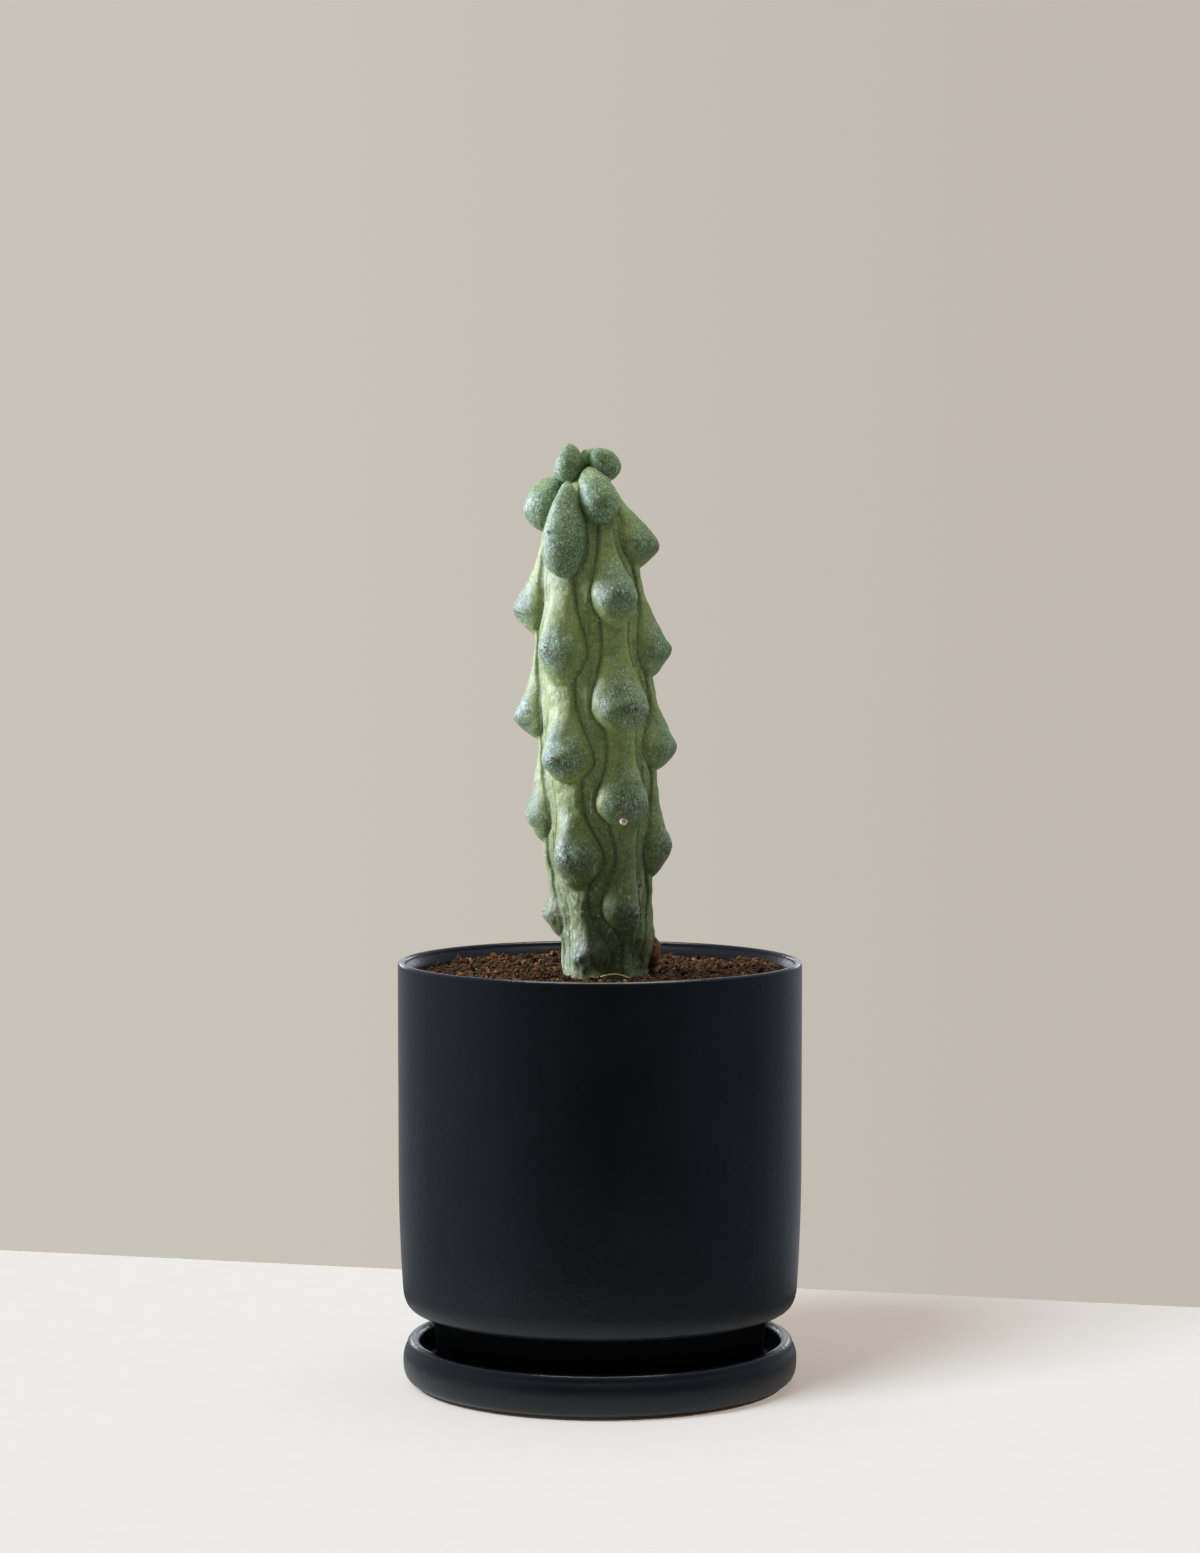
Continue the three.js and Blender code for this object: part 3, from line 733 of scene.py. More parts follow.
def pot_inside():
    """The inside of the pot, from its upright wall down over the ledge into the well of the foot."""
    ledge = BODY_BOTTOM + BASE_THICKNESS
    floor = SAUCER_FLOOR + BASE_THICKNESS
    well = FOOT_RADIUS - POT_WALL
    return path(
        (BORE, ledge + INSIDE_FILLET),
        (10, (well + 3 * EDGE, ledge), (BORE, ledge)),
        (6, (well, ledge - 3 * EDGE), (well, ledge)),
        (4, (well, floor + 2 * EDGE)),
        (5, (well - 2 * EDGE, floor), (well, floor)),
    )


def pot_outline():
    """The outline of the pot, out from the drain hole under the foot, up, over the lip and back inside."""
    bottom = SAUCER_FLOOR
    floor = bottom + BASE_THICKNESS
    ring_inner = FOOT_RADIUS - FOOT_RING_WIDTH
    widening = (TURN_IN_HEIGHT + FULL_WIDTH_HEIGHT) / 2
    lip = LIP_WIDTH / 2
    bevel_end = RIM_HEIGHT - LIP_BEVEL
    outside = path(
        (DRAIN_RADIUS, bottom + FOOT_RECESS),
        (6, (ring_inner - EDGE, bottom + FOOT_RECESS)),
        (2, (ring_inner, bottom)),
        (3, (FOOT_RADIUS - EDGE, bottom)),
        (4, (FOOT_RADIUS, bottom + EDGE), (FOOT_RADIUS, bottom)),
        (8, (FOOT_TOP_RADIUS, BODY_BOTTOM - EDGE)),
        (4, (FOOT_TOP_RADIUS + EDGE, BODY_BOTTOM), (FOOT_TOP_RADIUS, BODY_BOTTOM)),
        (3, (BODY_BOTTOM_RADIUS, BODY_BOTTOM)),
        (14, (TURN_IN_RADIUS, TURN_IN_HEIGHT), (TURN_IN_RADIUS - 0.2, BODY_BOTTOM)),
        (14, (POT_RADIUS, FULL_WIDTH_HEIGHT), (POT_RADIUS, widening)),
        (22, (POT_RADIUS, RIM_HEIGHT - lip)),
    )
    wall = path(
        (POT_RADIUS - LIP_WIDTH, RIM_HEIGHT - lip),
        (8, (BORE, bevel_end), (BORE, bevel_end + BEVEL_PULL)),
        (22, (BORE, BODY_BOTTOM + BASE_THICKNESS + INSIDE_FILLET)),
    )
    floor_inside = path((FOOT_RADIUS - POT_WALL - 3 * EDGE, floor), (6, (DRAIN_RADIUS, floor)))
    lip_round = over_the_lip(POT_RADIUS, RIM_HEIGHT - lip, lip)
    return np.concatenate([outside[:-1], lip_round, wall[:-1], pot_inside(), floor_inside])


def saucer_outline():
    """The outline of the saucer, from under its middle, over the foot ring and the lip, to its floor."""
    lip_outer = SAUCER_RADIUS - SAUCER_LIP_INSET
    lip_inner = lip_outer - 2 * SAUCER_LIP_RADIUS
    lip_height = SAUCER_HEIGHT - SAUCER_LIP_RADIUS
    ring_inner = SAUCER_FOOT_RADIUS - SAUCER_FOOT_WIDTH
    foot = SAUCER_FOOT_HEIGHT
    outside = path(
        (0.01, foot),
        (8, (ring_inner - EDGE, foot)),
        (2, (ring_inner, 0)),
        (3, (SAUCER_FOOT_RADIUS - 0.4, 0)),
        (3, (SAUCER_FOOT_RADIUS, 0.5), (SAUCER_FOOT_RADIUS, 0)),
        (3, (SAUCER_FOOT_RADIUS + 0.8, foot + 0.1), (SAUCER_FOOT_RADIUS, foot)),
        (14, (SAUCER_RADIUS, SAUCER_WIDEST), (SAUCER_RADIUS, foot + 0.4)),
        (8, (lip_outer, lip_height), (SAUCER_RADIUS, lip_height - 2)),
    )
    inside = path(
        (lip_inner, lip_height),
        (10, (SAUCER_WELL_RADIUS, SAUCER_FLOOR), (lip_inner, SAUCER_FLOOR)),
        (12, (0.01, SAUCER_FLOOR)),
    )
    return np.concatenate([outside[:-1], over_the_lip(lip_outer, lip_height, SAUCER_LIP_RADIUS), inside])


# %% Turned meshes
def turned_rings(outline):
    """An outline of radius and height turned about the axis, shaped (points, around, 3)."""
    ways = circle(np.array([1, 0, 0]), np.array([0, 1, 0]), TURNED_AROUND)
    return outline[:, 0][:, None, None] * ways[None] + outline[:, 1][:, None, None] * UP


WAVY_FROM = 40
WAVE_SIZE = 60


def hand_made(points, amount, seed):
    """Points moved in by a very slight waviness, and never out."""
    away = np.hypot(points[:, 0], points[:, 1])
    wave = np.clip(0.5 + 0.4 * waves(points, WAVE_SIZE, seed), 0, 1) * amount
    share = np.where(away > WAVY_FROM, 1 - wave / np.maximum(away, 1), 1)
    return points * np.stack([share, share, np.ones(len(points))], axis=1)


def add_ring_body(name, outline, amount, seed):
    """A turned mesh whose outline closes on itself, with a hole along the axis."""
    rings = turned_rings(outline)
    count, around = rings.shape[:2]
    i, j = np.meshgrid(np.arange(count), np.arange(around), indexing="ij")
    ahead, turn = (i + 1) % count, (j + 1) % around
    low, high = i * around, ahead * around
    quads = np.stack([low + j, low + turn, high + turn, high + j], axis=2)
    points = hand_made(rings.reshape(-1, 3), amount, seed)
    return add_mesh(name, points, quads.reshape(-1, 4), NO_TRIANGLES)


pot = add_ring_body("pot_body", pot_outline(), 0.12, 21)
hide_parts("pot")
saucer_rings = turned_rings(saucer_outline())
saucer_rings = hand_made(saucer_rings.reshape(-1, 3), 0.1, 22).reshape(saucer_rings.shape)
saucer = add_skin("saucer_dish", saucer_rings, (0, 0, SAUCER_FOOT_HEIGHT), (0, 0, SAUCER_FLOOR))
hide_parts("saucer")
for piece in (pot, saucer):
    print(size_line(piece))

# %% [markdown]
# ## Soil
#
# The mix is composted bark: crumbs of one to four millimetres, red-brown on their broken faces and
# nearly black between. A bump map would look flat along the rim, where the eye is level with the
# soil, so the bed is a mesh with its own lumps, and some thousands of loose crumbs lie on it. Each
# crumb is a small knocked-about solid with a tone of its own.

# %% The bed
SOIL_LEVEL = 136.4
SOIL_EDGE_DROP = 0.5
SOIL_RIGHT_RISE = 2.7
HEAP_AT = (-24, 46)
HEAP_RADIUS = 22
HEAP_RISE = 1.5
CLEARANCE = 0.3
HOLE_CLEARANCE = 0.35
BED_AROUND = 300
BED_RINGS = 84
BED_TONE = 0.32
BURIED_HEIGHTS = (COLUMN_FOOT, 112, 124, 132)


def soil_height(points):
    """The bed's height in mm at points, from their first two coordinates."""
    x, y = points[:, 0], points[:, 1]
    flat = np.stack([x, y, np.zeros(len(x))], axis=1)
    edge_drop = SOIL_EDGE_DROP * (np.hypot(x, y) / BORE) ** 5
    right_rise = SOIL_RIGHT_RISE * (np.maximum(x, 0) / BORE) ** 2.5
    heap = HEAP_RISE * hump(np.hypot(x - HEAP_AT[0], y - HEAP_AT[1]), HEAP_RADIUS)
    mounds = layered(flat, (0.55, 26, 41), (0.4, 9, 42))
    grains = layered(flat, (0.34, 3.2, 43), (0.2, 1.7, 44))
    return SOIL_LEVEL + right_rise + heap - edge_drop + mounds + grains


def stem_edge(turn, z, grown):
    """The column's outline at a height, grown by a clearance."""
    radius, _ = column_at(turn, np.full(len(turn), float(z)))
    return facing(turn) * (radius + grown)[:, None] + axis_at(z)


bed_turn = np.arange(BED_AROUND) * 360 / BED_AROUND
wall = facing(bed_turn) * (BORE - CLEARANCE)
stem = stem_edge(bed_turn, SOIL_LEVEL, HOLE_CLEARANCE)
bed_rings = [stem_edge(bed_turn, z, HOLE_CLEARANCE) for z in BURIED_HEIGHTS]
for share in (np.arange(BED_RINGS + 1) / BED_RINGS) ** 0.95:
    ring = stem * (1 - share) + wall * share
    ring[:, 2] = soil_height(ring)
    bed_rings.append(ring)
for inside_radius, height in pot_inside():
    bed_rings.append(facing(bed_turn) * (inside_radius - CLEARANCE) + [0, 0, height])
bed_rings = np.array(bed_rings)[:, ::-1]
bed = add_skin("soil_bed", bed_rings, axis_at(COLUMN_FOOT), (0, 0, SAUCER_FLOOR + BASE_THICKNESS))
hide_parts("soil")
bed_tone = BED_TONE + layered(points_of(bed), (0.3, 2.6, 45), (0.12, 9, 46))
mark(bed, "tone", np.clip(bed_tone, 0, 1))
print(size_line(bed))

# %% Crumbs of bark
GOLDEN = (1 + 5**0.5) / 2
CRUMB_COUNT = 7800
CRUMB_CHIPS = 700
CRUMB_RADIUS = 0.58
CRUMB_SPREAD = 0.34
CRUMB_LIMITS = (0.3, 1.6)
CHIP_LIMITS = (0.9, 1.7)
CHIP_FLATNESS = (1.25, 0.7, 0.4)
CRUMB_MARGIN = 1.9


def icosahedron():
    """The 12 points and 20 faces of an icosahedron of radius 1."""
    points = []
    for a in (-1, 1):
        for b in (-GOLDEN, GOLDEN):
            points += [(0, a, b), (a, b, 0), (b, 0, a)]
    points = np.array(points, float)
    near = np.linalg.norm(points[:, None] - points[None, :], axis=2)
    faces = []
    for i in range(12):
        for j in range(i + 1, 12):
            for k in range(j + 1, 12):
                if max(near[i, j], near[j, k], near[i, k]) < 2.1:
                    out = np.dot(np.cross(points[j] - points[i], points[k] - points[i]), points[i])
                    faces.append((i, j, k) if out > 0 else (i, k, j))
    return points / np.linalg.norm(points[0]), np.array(faces)


def random_turns(rng, count):
    """Rotation matrices with no favoured direction."""
    q = rng.normal(size=(count, 4))
    w, x, y, z = (q / np.linalg.norm(q, axis=1)[:, None]).T
    return np.stack([
        1 - 2 * (y * y + z * z), 2 * (x * y - z * w), 2 * (x * z + y * w),
        2 * (x * y + z * w), 1 - 2 * (x * x + z * z), 2 * (y * z - x * w),
        2 * (x * z - y * w), 2 * (y * z + x * w), 1 - 2 * (x * x + y * y),
    ], axis=1).reshape(-1, 3, 3)


def scatter_on_bed(rng, count, margin):
    """Places on the bed, clear of the wall and the stem."""
    places = np.empty((0, 2))
    while len(places) < count:
        turn = rng.uniform(0, 360, count)
        away = (BORE - margin) * np.sqrt(rng.uniform(0, 1, count))
        tried = facing(turn)[:, :2] * away[:, None]
        around_stem = tried - axis_at(SOIL_LEVEL)[:2]
        stem_turn = np.degrees(np.arctan2(around_stem[:, 0], -around_stem[:, 1]))
        stem_radius, _ = column_at(stem_turn, np.full(count, float(SOIL_LEVEL)))
        places = np.concatenate([places, tried[np.hypot(*around_stem.T) > stem_radius + margin]])
    places = places[:count]
    level = soil_height(np.concatenate([places, np.zeros((count, 1))], axis=1))
    return np.concatenate([places, level[:, None]], axis=1)


rng = np.random.default_rng(11)
shape_points, shape_faces = icosahedron()
sizes = np.concatenate([
    rng.lognormal(math.log(CRUMB_RADIUS), CRUMB_SPREAD, CRUMB_COUNT - CRUMB_CHIPS).clip(*CRUMB_LIMITS),
    rng.uniform(*CHIP_LIMITS, CRUMB_CHIPS),
])
stretch = rng.uniform(0.55, 1.25, (CRUMB_COUNT, 3))
stretch[-CRUMB_CHIPS:] *= CHIP_FLATNESS
places = scatter_on_bed(rng, CRUMB_COUNT, CRUMB_MARGIN)
places[:, 2] += sizes * rng.uniform(-0.15, 0.45, CRUMB_COUNT)
corner_count = len(shape_points)
knocked = shape_points[None] * rng.uniform(0.72, 1.2, (CRUMB_COUNT, corner_count, 1))
crumb_points = knocked * (sizes[:, None] * stretch)[:, None, :]
crumb_points = np.einsum("nij,nkj->nki", random_turns(rng, CRUMB_COUNT), crumb_points) + places[:, None]
crumb_points = crumb_points.reshape(-1, 3)
crumb_faces = shape_faces[None] + (corner_count * np.arange(CRUMB_COUNT))[:, None, None]
crumbs = add_mesh("soil_crumbs", crumb_points, NO_QUADS, crumb_faces.reshape(-1, 3))
faceted(crumbs)
mark(crumbs, "tone", np.repeat(rng.beta(2.2, 3.2, CRUMB_COUNT), corner_count))
print(size_line(crumbs))

# %% [markdown]
# ## Small things that tell its age
#
# A plant that has been handled has a history: a dried flower bud that dropped and left a bead on its
# tubercle, a corked scar at its foot, grit blown on to the skin, and a dry grass fibre that lies
# against the stem. Each is a small round body or a bent cone, set a little into the skin.

# %% Bead
BEAD_TURN = 21
BEAD_LEVEL = 189.6
BEAD_RADIUS = 1.35
BEAD_FLATNESS = 0.7
DIMPLE_DEPTH = 0.3
DIMPLE_DEGREES = 26

bead_at = on_skin(BEAD_TURN, BEAD_LEVEL, 0.1)
bead_out = facing(BEAD_TURN)
latitude = np.radians(np.linspace(-80, 86, 18))
rise = np.sin(latitude) - DIMPLE_DEPTH * hump(np.degrees(latitude) - 90, DIMPLE_DEGREES)
bead_rings = (
    bead_at
    + circle(np.cross(UP, bead_out), UP, 28)[None] * (BEAD_RADIUS * np.cos(latitude))[:, None, None]
    + bead_out * (BEAD_RADIUS * BEAD_FLATNESS * rise)[:, None, None]
)
bead_end = bead_out * BEAD_RADIUS * BEAD_FLATNESS
bead = add_skin("bud_scar", bead_rings, bead_at - bead_end, bead_at + bead_end * (1 - DIMPLE_DEPTH))
bead_share = np.linalg.norm(points_of(bead) - bead_at - bead_out, axis=1) / BEAD_RADIUS
mark(bead, "tone", 1 - smoothstep(bead_share, 0.25, 0.65))

# %% Cork
CORK_HALF_HEIGHT = 5.8
CORK_DEPTH = 3.5
CORK_WIDTH = 3.6
CORK_SUNK = 1.7

cork_at = on_skin(CORK_TURN, CORK_LEVEL - 0.8, CORK_SUNK)
cork_out = facing(CORK_TURN)
cork_ring = circle(cork_out * CORK_DEPTH, np.cross(UP, cork_out) * CORK_WIDTH, 40)
cork_end = UP * CORK_HALF_HEIGHT
cork_rings = globe(np.radians(np.linspace(-84, 84, 30)), cork_ring, cork_end)
cork_shape = cork_rings.reshape(-1, 3)
rough = 1 + layered(cork_shape, (0.07, 3.4, 61), (0.03, 1.3, 62))
cork_rings = (cork_shape * rough[:, None]).reshape(cork_rings.shape) + cork_at
cork = add_skin("cork_scar", cork_rings, cork_at - cork_end, cork_at + cork_end)

# %% Grit and fibre
GRIT_AT = [(-66, 196.7), (-24, 159.3), (-33, 161.2), (-15, 161.2), (-6, 157.9), (41, 160.4)]
FIBRE_STEPS = 26
FIBRE_RADIUS = 0.3
FIBRE_AWAY = 1.2

grit_cones = []
rng = np.random.default_rng(19)
for turn, height in GRIT_AT:
    at = on_skin(turn, height, 0.1)
    bend = rng.normal(size=3) * 0.2
    size = rng.uniform(0.32, 0.48)
    grit_cones.append(bent_cone(at, facing(turn), bend, 0.5, size, sides=6, steps=2))
grit = add_cones("skin_grit", grit_cones)

fibre_line = stem_edge(np.linspace(-12, 33, FIBRE_STEPS), SOIL_LEVEL, FIBRE_AWAY)
fibre_line[:, 2] = SOIL_LEVEL + 0.5 + 1.5 * np.sin(np.linspace(0.2, math.pi, FIBRE_STEPS)) ** 1.3
tube = fibre_line[:, None, :] + FIBRE_RADIUS * circle(UP, facing(5), 8)[None]
fibre = add_skin("straw_fibre", tube, fibre_line[0], fibre_line[-1])
for piece in (bead, cork, grit, fibre):
    print(size_line(piece))

# %% [markdown]
# ## Finishes
#
# A finish is a small sum: this colour, more of that one where a mask says so. Written as Python
# expressions, the sums read like sums. One class stands for a socket, and each operator adds the
# Math node that it means. Colours are mixed with Mix nodes, because Math would turn them grey.

# %% Sums of sockets
def fill(slot, value):
    """Links a wire to an input socket, or sets its value."""
    if isinstance(value, Wire):
        slot.id_data.links.new(value.socket, slot)
    else:
        slot.default_value = value


def math_node(operation, swapped=False):
    """An operator for Wire that adds a Math node."""
    def add_node(self, other):
        node = self.socket.id_data.nodes.new("ShaderNodeMath")
        node.operation = operation
        for slot, value in zip(node.inputs, (other, self) if swapped else (self, other)):
            fill(slot, value)
        return Wire(node.outputs[0])
    return add_node


class Wire:
    """An output socket that can be used in sums."""

    def __init__(self, socket):
        self.socket = socket

    __add__ = math_node("ADD")
    __radd__ = math_node("ADD", swapped=True)
    __sub__ = math_node("SUBTRACT")
    __rsub__ = math_node("SUBTRACT", swapped=True)
    __mul__ = math_node("MULTIPLY")
    __rmul__ = math_node("MULTIPLY", swapped=True)
    __truediv__ = math_node("DIVIDE")
    __pow__ = math_node("POWER")


# %% One method for every other node
class Nodes:
    """A tree of nodes under construction."""

    def __init__(self, tree):
        self.tree = tree
        self.tree.nodes.clear()

    def node(self, kind, settings=None, output=0, **sockets):
        """Adds a node, sets it up, then fills its sockets with values or wires. A socket is named by its
        name in lower case with _ for spaces, or by its number as in_6."""
        node = self.tree.nodes.new(kind)
        for key, value in (settings or {}).items():
            if key == "stops":
                self.set_stops(node.color_ramp, value)
            else:
                setattr(node, key, value)
        for key, value in sockets.items():
            if key.startswith("in_"):
                fill(node.inputs[int(key[3:])], value)
            else:
                fill(next(s for s in node.inputs if s.name.lower().replace(" ", "_") == key), value)
        return Wire(node.outputs[output]) if node.outputs else None

    @staticmethod
    def set_stops(ramp, stops):
        for place, colour in stops[2:]:
            ramp.elements.new(place)
        for element, (place, colour) in zip(ramp.elements, stops):
            element.position = place
            element.color = colour

    def axes(self, vector):
        """The three parts of a vector."""
        return [self.node("ShaderNodeSeparateXYZ", output=axis, vector=vector) for axis in range(3)]

    def mask(self, name):
        """A number that was kept for each vertex."""
        return self.node("ShaderNodeAttribute", {"attribute_name": name}, output=2)

    def stretched(self, place, scale):
        return self.node("ShaderNodeMapping", {"vector_type": "POINT"}, vector=place, scale=scale)

    def noise(self, place, scale, detail=3.0, roughness=0.55, distortion=0.0):
        """Noise from 0 to 1, with scale bumps to the metre."""
        return self.node("ShaderNodeTexNoise", vector=place, scale=scale, detail=detail,
                         roughness=roughness, distortion=distortion)

    def between(self, value, low, high, to_low=0.0, to_high=1.0):
        """A value that runs smoothly from to_low to to_high as the first one runs from low to high."""
        return self.node("ShaderNodeMapRange", {"interpolation_type": "SMOOTHSTEP"}, value=value,
                         from_min=low, from_max=high, to_min=to_low, to_max=to_high)

    def mix(self, share, first, second):
        """A colour between two, from the first at a share of 0 to the second at 1."""
        return self.node("ShaderNodeMix", {"data_type": "RGBA"}, output=2,
                         in_0=share, in_6=first, in_7=second)

    def over(self, colour, *layers):
        """A colour under layers. Each layer has its share and its colour as read off a screen."""
        for share, tone in layers:
            colour = self.mix(share, colour, srgb(*tone))
        return colour

    def tones(self, value, low, high, first, second):
        """A colour that runs from one to another as a value runs from low to high."""
        return self.mix(self.between(value, low, high), srgb(*first), srgb(*second))

    def bump(self, height, distance, strength=1.0, under=None):
        sockets = {"height": height, "distance": distance, "strength": strength}
        if under is not None:
            sockets["normal"] = under
        return self.node("ShaderNodeBump", **sockets)


class Finish(Nodes):
    """A material under construction."""

    def __init__(self, name):
        self.material = bpy.data.materials.new(name)
        self.material.use_nodes = True
        super().__init__(self.material.node_tree)

    def place(self):
        """Where a point is on the object, in metres."""
        return self.node("ShaderNodeTexCoord", output=3)

    def shader(self, **sockets):
        return self.node("ShaderNodeBsdfPrincipled", **sockets)

    def done(self, shader):
        self.node("ShaderNodeOutputMaterial", surface=shader)
        return self.material

    def surface(self, **sockets):
        return self.done(self.shader(**sockets))


def srgb(red, green, blue):
    """A colour as read off a screen, 0 to 255, as the linear one that a shader takes."""
    linear = []
    for value in (red, green, blue):
        share = value / 255
        linear.append(share / 12.92 if share <= 0.04045 else ((share + 0.055) / 1.055) ** 2.4)
    return (*linear, 1.0)


def give(piece, material):
    piece.data.materials.clear()
    piece.data.materials.append(material)
    print(f"{piece.name}: {material.name}, {len(material.node_tree.nodes)} nodes")


# %% [markdown]
# ### Cactus skin
#
# The skin is a satin yellow-green where it is stretched, on the necks and along the furrows, and a
# cool blue-green on the tubercles. Over it lies a pale wax that has rubbed into flecks and short
# streaks, thickest on the swellings and the young lobes. Near the soil the plant has corked: dry
# brown-grey scuffs.

# %% Skin
# Heights in metres between which a look comes in
LOW_SKIN = (0.172, 0.142)
AGED_AND_SHADED_SKIN = (0.215, 0.168)
RUBBED_SKIN = (0.25, 0.19)


def cactus_skin():
    f = Finish("waxy_cactus_skin")
    place = f.place()
    swelling, tip, young = f.mask("swelling"), f.mask("tip"), f.mask("young")
    furrow, strip, fresh, corked = f.mask("furrow"), f.mask("strip"), f.mask("fresh"), f.mask("corked")
    height = f.axes(place)[2]
    low, aged_and_shaded = f.between(height, *LOW_SKIN), f.between(height, *AGED_AND_SHADED_SKIN)

    broad = f.noise(place, 62, 3)
    middle = f.noise(place, 240, 3, 0.6)
    fine = f.noise(place, 950, 3, 0.65)
    neck = f.tones(middle, 0.36, 0.66, (136, 152, 66), (108, 128, 46))
    bulb = f.tones(middle, 0.34, 0.68, (70, 94, 42), (92, 116, 60))
    lobe = f.tones(middle, 0.34, 0.68, (66, 94, 36), (86, 114, 52))
    flesh = f.mix(f.between(swelling + (broad - 0.5) * 0.4, 0.05, 0.75), neck, bulb)
    flesh = f.over(
        f.mix(young, flesh, lobe),
        (fresh, (98, 140, 52)),
        (strip * 0.35, (98, 118, 52)),
        # Dark lines along the furrows: painted shade in the creases.
        (furrow * 0.6, (48, 60, 18)),
        # Dark blue-green round each areole: painted shade of the tip.
        (tip * 0.7, (46, 66, 50)),
        (f.between(fine, 0.4, 0.66) * 0.35, (62, 82, 34)),
        # Darker lower down the stem: partly painted shade, partly the stem's own older skin. The same mask
        # brings scratches of wear.
        (aged_and_shaded * 0.45, (44, 58, 18)),
        (low * f.between(middle, 0.3, 0.6) * 0.4, (88, 92, 50)),
    )

    grain = f.noise(place, 2300, 3, 0.7)
    streaks = f.noise(f.stretched(place, (1.0, 1.0, 0.5)), 1500, 3, 0.7)
    waxed = 0.3 + f.between(swelling, 0.05, 0.8) * 0.45 + young * 0.45 + low * 0.2
    # Less wax at the tips deepens their painted shade, and there is less lower down, where the stem is
    # painted darker.
    waxed = (waxed - tip * 0.25 - aged_and_shaded * 0.2) * (1 - fresh * 0.7)
    cover = f.between(f.noise(place, 105, 3, 0.6), 0.3, 0.62, 0.35, 1.0) * waxed
    film = f.between(f.noise(place, 700, 3, 0.7), 0.36, 0.66) * (0.06 + cover * 0.25)
    specks = f.between(grain + (streaks - 0.5) * 0.5, 0.49, 0.63) * (0.12 + cover * 0.75)
    flecks = f.between(streaks + tip * 0.05, 0.6, 0.7) * (0.1 + cover * 0.75)
    scratches = f.between(f.noise(f.stretched(place, (1.3, 1.3, 0.35)), 520, 4, 0.75), 0.6, 0.68) * aged_and_shaded
    rubbed = f.between(f.noise(place, 130, 4, 0.75, 0.8), 0.56, 0.66) * f.between(height, *RUBBED_SKIN)
    scuffs = f.between(f.noise(f.stretched(place, (1.0, 1.0, 0.6)), 900, 3, 0.7), 0.45, 0.6) * rubbed
    flesh = f.over(
        flesh,
        (film, (158, 178, 156)),
        (specks, (170, 190, 166)),
        (flecks, (214, 226, 208)),
        (scratches * 0.6, (190, 196, 172)),
        (scuffs * 0.55, (184, 200, 176)),
        (corked * f.between(middle, 0.35, 0.6, 0.3, 0.9), (112, 84, 48)),
    )

    relief = f.bump(f.noise(f.stretched(place, (1.0, 1.0, 0.6)), 520, 3, 0.6), 0.0005, 0.35)
    relief = f.bump(grain * 0.6 + flecks * 0.4, 0.00018, 0.9, relief)
    roughness = 0.52 + flecks * 0.25 + (fine - 0.5) * 0.12 + low * 0.1
    return f.surface(base_color=flesh, roughness=roughness, normal=relief, subsurface_weight=0.05,
                     subsurface_radius=(0.6, 1.0, 0.3), subsurface_scale=0.0012, specular_ior_level=0.32)


give(column, cactus_skin())


# %% Spines, wool, grit and fibre
def two_tone(name, tones, roughness, scale, detail, strength=0.5, fade=None, stretch=(1, 1, 1)):
    """A finish of two tones that one noise mixes, with a slight bump."""
    f = Finish(name)
    tone = f.noise(f.stretched(f.place(), stretch), scale, detail)
    share = f.between(tone, *fade) if fade else tone
    colour = f.mix(share, srgb(*tones[0]), srgb(*tones[1]))
    return f.surface(base_color=colour, roughness=roughness, normal=f.bump(tone, 0.0001, strength))


give(spines, two_tone("dark_spine_horn", [(34, 20, 16), (140, 110, 88)], 0.45, 1400, 2, fade=(0.52, 0.7)))
give(wool, two_tone("white_areole_wool", [(214, 208, 198), (250, 248, 244)], 0.9, 2600, 3, strength=0.4))
give(grit, two_tone("ochre_grit", [(160, 96, 50), (226, 166, 98)], 0.8, 2500, 2))
give(fibre, two_tone("dry_straw", [(196, 178, 112), (236, 226, 168)], 0.6, 3000, 3, stretch=(0.2, 1, 1)))


# %% Bead and cork
def dried_bud():
    f = Finish("dried_bud_scar")
    tone = f.noise(f.place(), 1600, 3)
    colour = f.tones(tone, 0.4, 0.72, (246, 232, 208), (214, 176, 148))
    colour = f.over(colour, (f.mask("tone") * 0.8, (140, 84, 60)))
    return f.surface(base_color=colour, roughness=0.7, normal=f.bump(tone, 0.0003, 0.7))


def brown_cork():
    f = Finish("brown_cork")
    place = f.place()
    tone = f.noise(place, 800, 4, 0.65)
    cracks = f.between(f.noise(f.stretched(place, (1.0, 1.0, 0.4)), 700, 4, 0.7), 0.4, 0.52)
    colour = f.tones(tone, 0.34, 0.66, (98, 64, 32), (140, 92, 48))
    colour = f.mix(cracks * 0.6 + 0.4, srgb(58, 40, 22), colour)
    return f.surface(base_color=colour, roughness=0.85, normal=f.bump(cracks * 0.4 + tone, 0.0005, 0.8))


give(bead, dried_bud())
give(cork, brown_cork())

# %% [markdown]
# ### Black glaze
#
# A matt black glaze is not flat. It is smooth to the hand, yet a fine orange peel and tiny pits
# scatter its reflections, so it goes grey only where it is seen edge on. The colour stays almost
# black and nearly all the look comes from roughness and a very shallow bump. The two lips are
# smoother, since the glaze runs thin and tight over them. The foot of the pot, deep in its gap, has
# a dull near-black finish that is painted shade of the gap, and a hairline of pale clay shows where
# the saucer stands.

# %% Glaze
# Heights and distances from the axis, in metres, between which a look comes in
LIP_SHINE = (0.1403, 0.1411)
SAUCER_SHINE = (0.0136, 0.0145)
SAUCER_SHINE_END = (0.017, 0.016)
BARE_CLAY = (0.0007, 0.0004)
INNER_WALL = (0.0643, 0.0634)
INNER_WALL_FOOT = (0.02, 0.03)
FOOT_SIDE = (0.0598, 0.0575)
FOOT_TOP = (0.027, 0.0256)


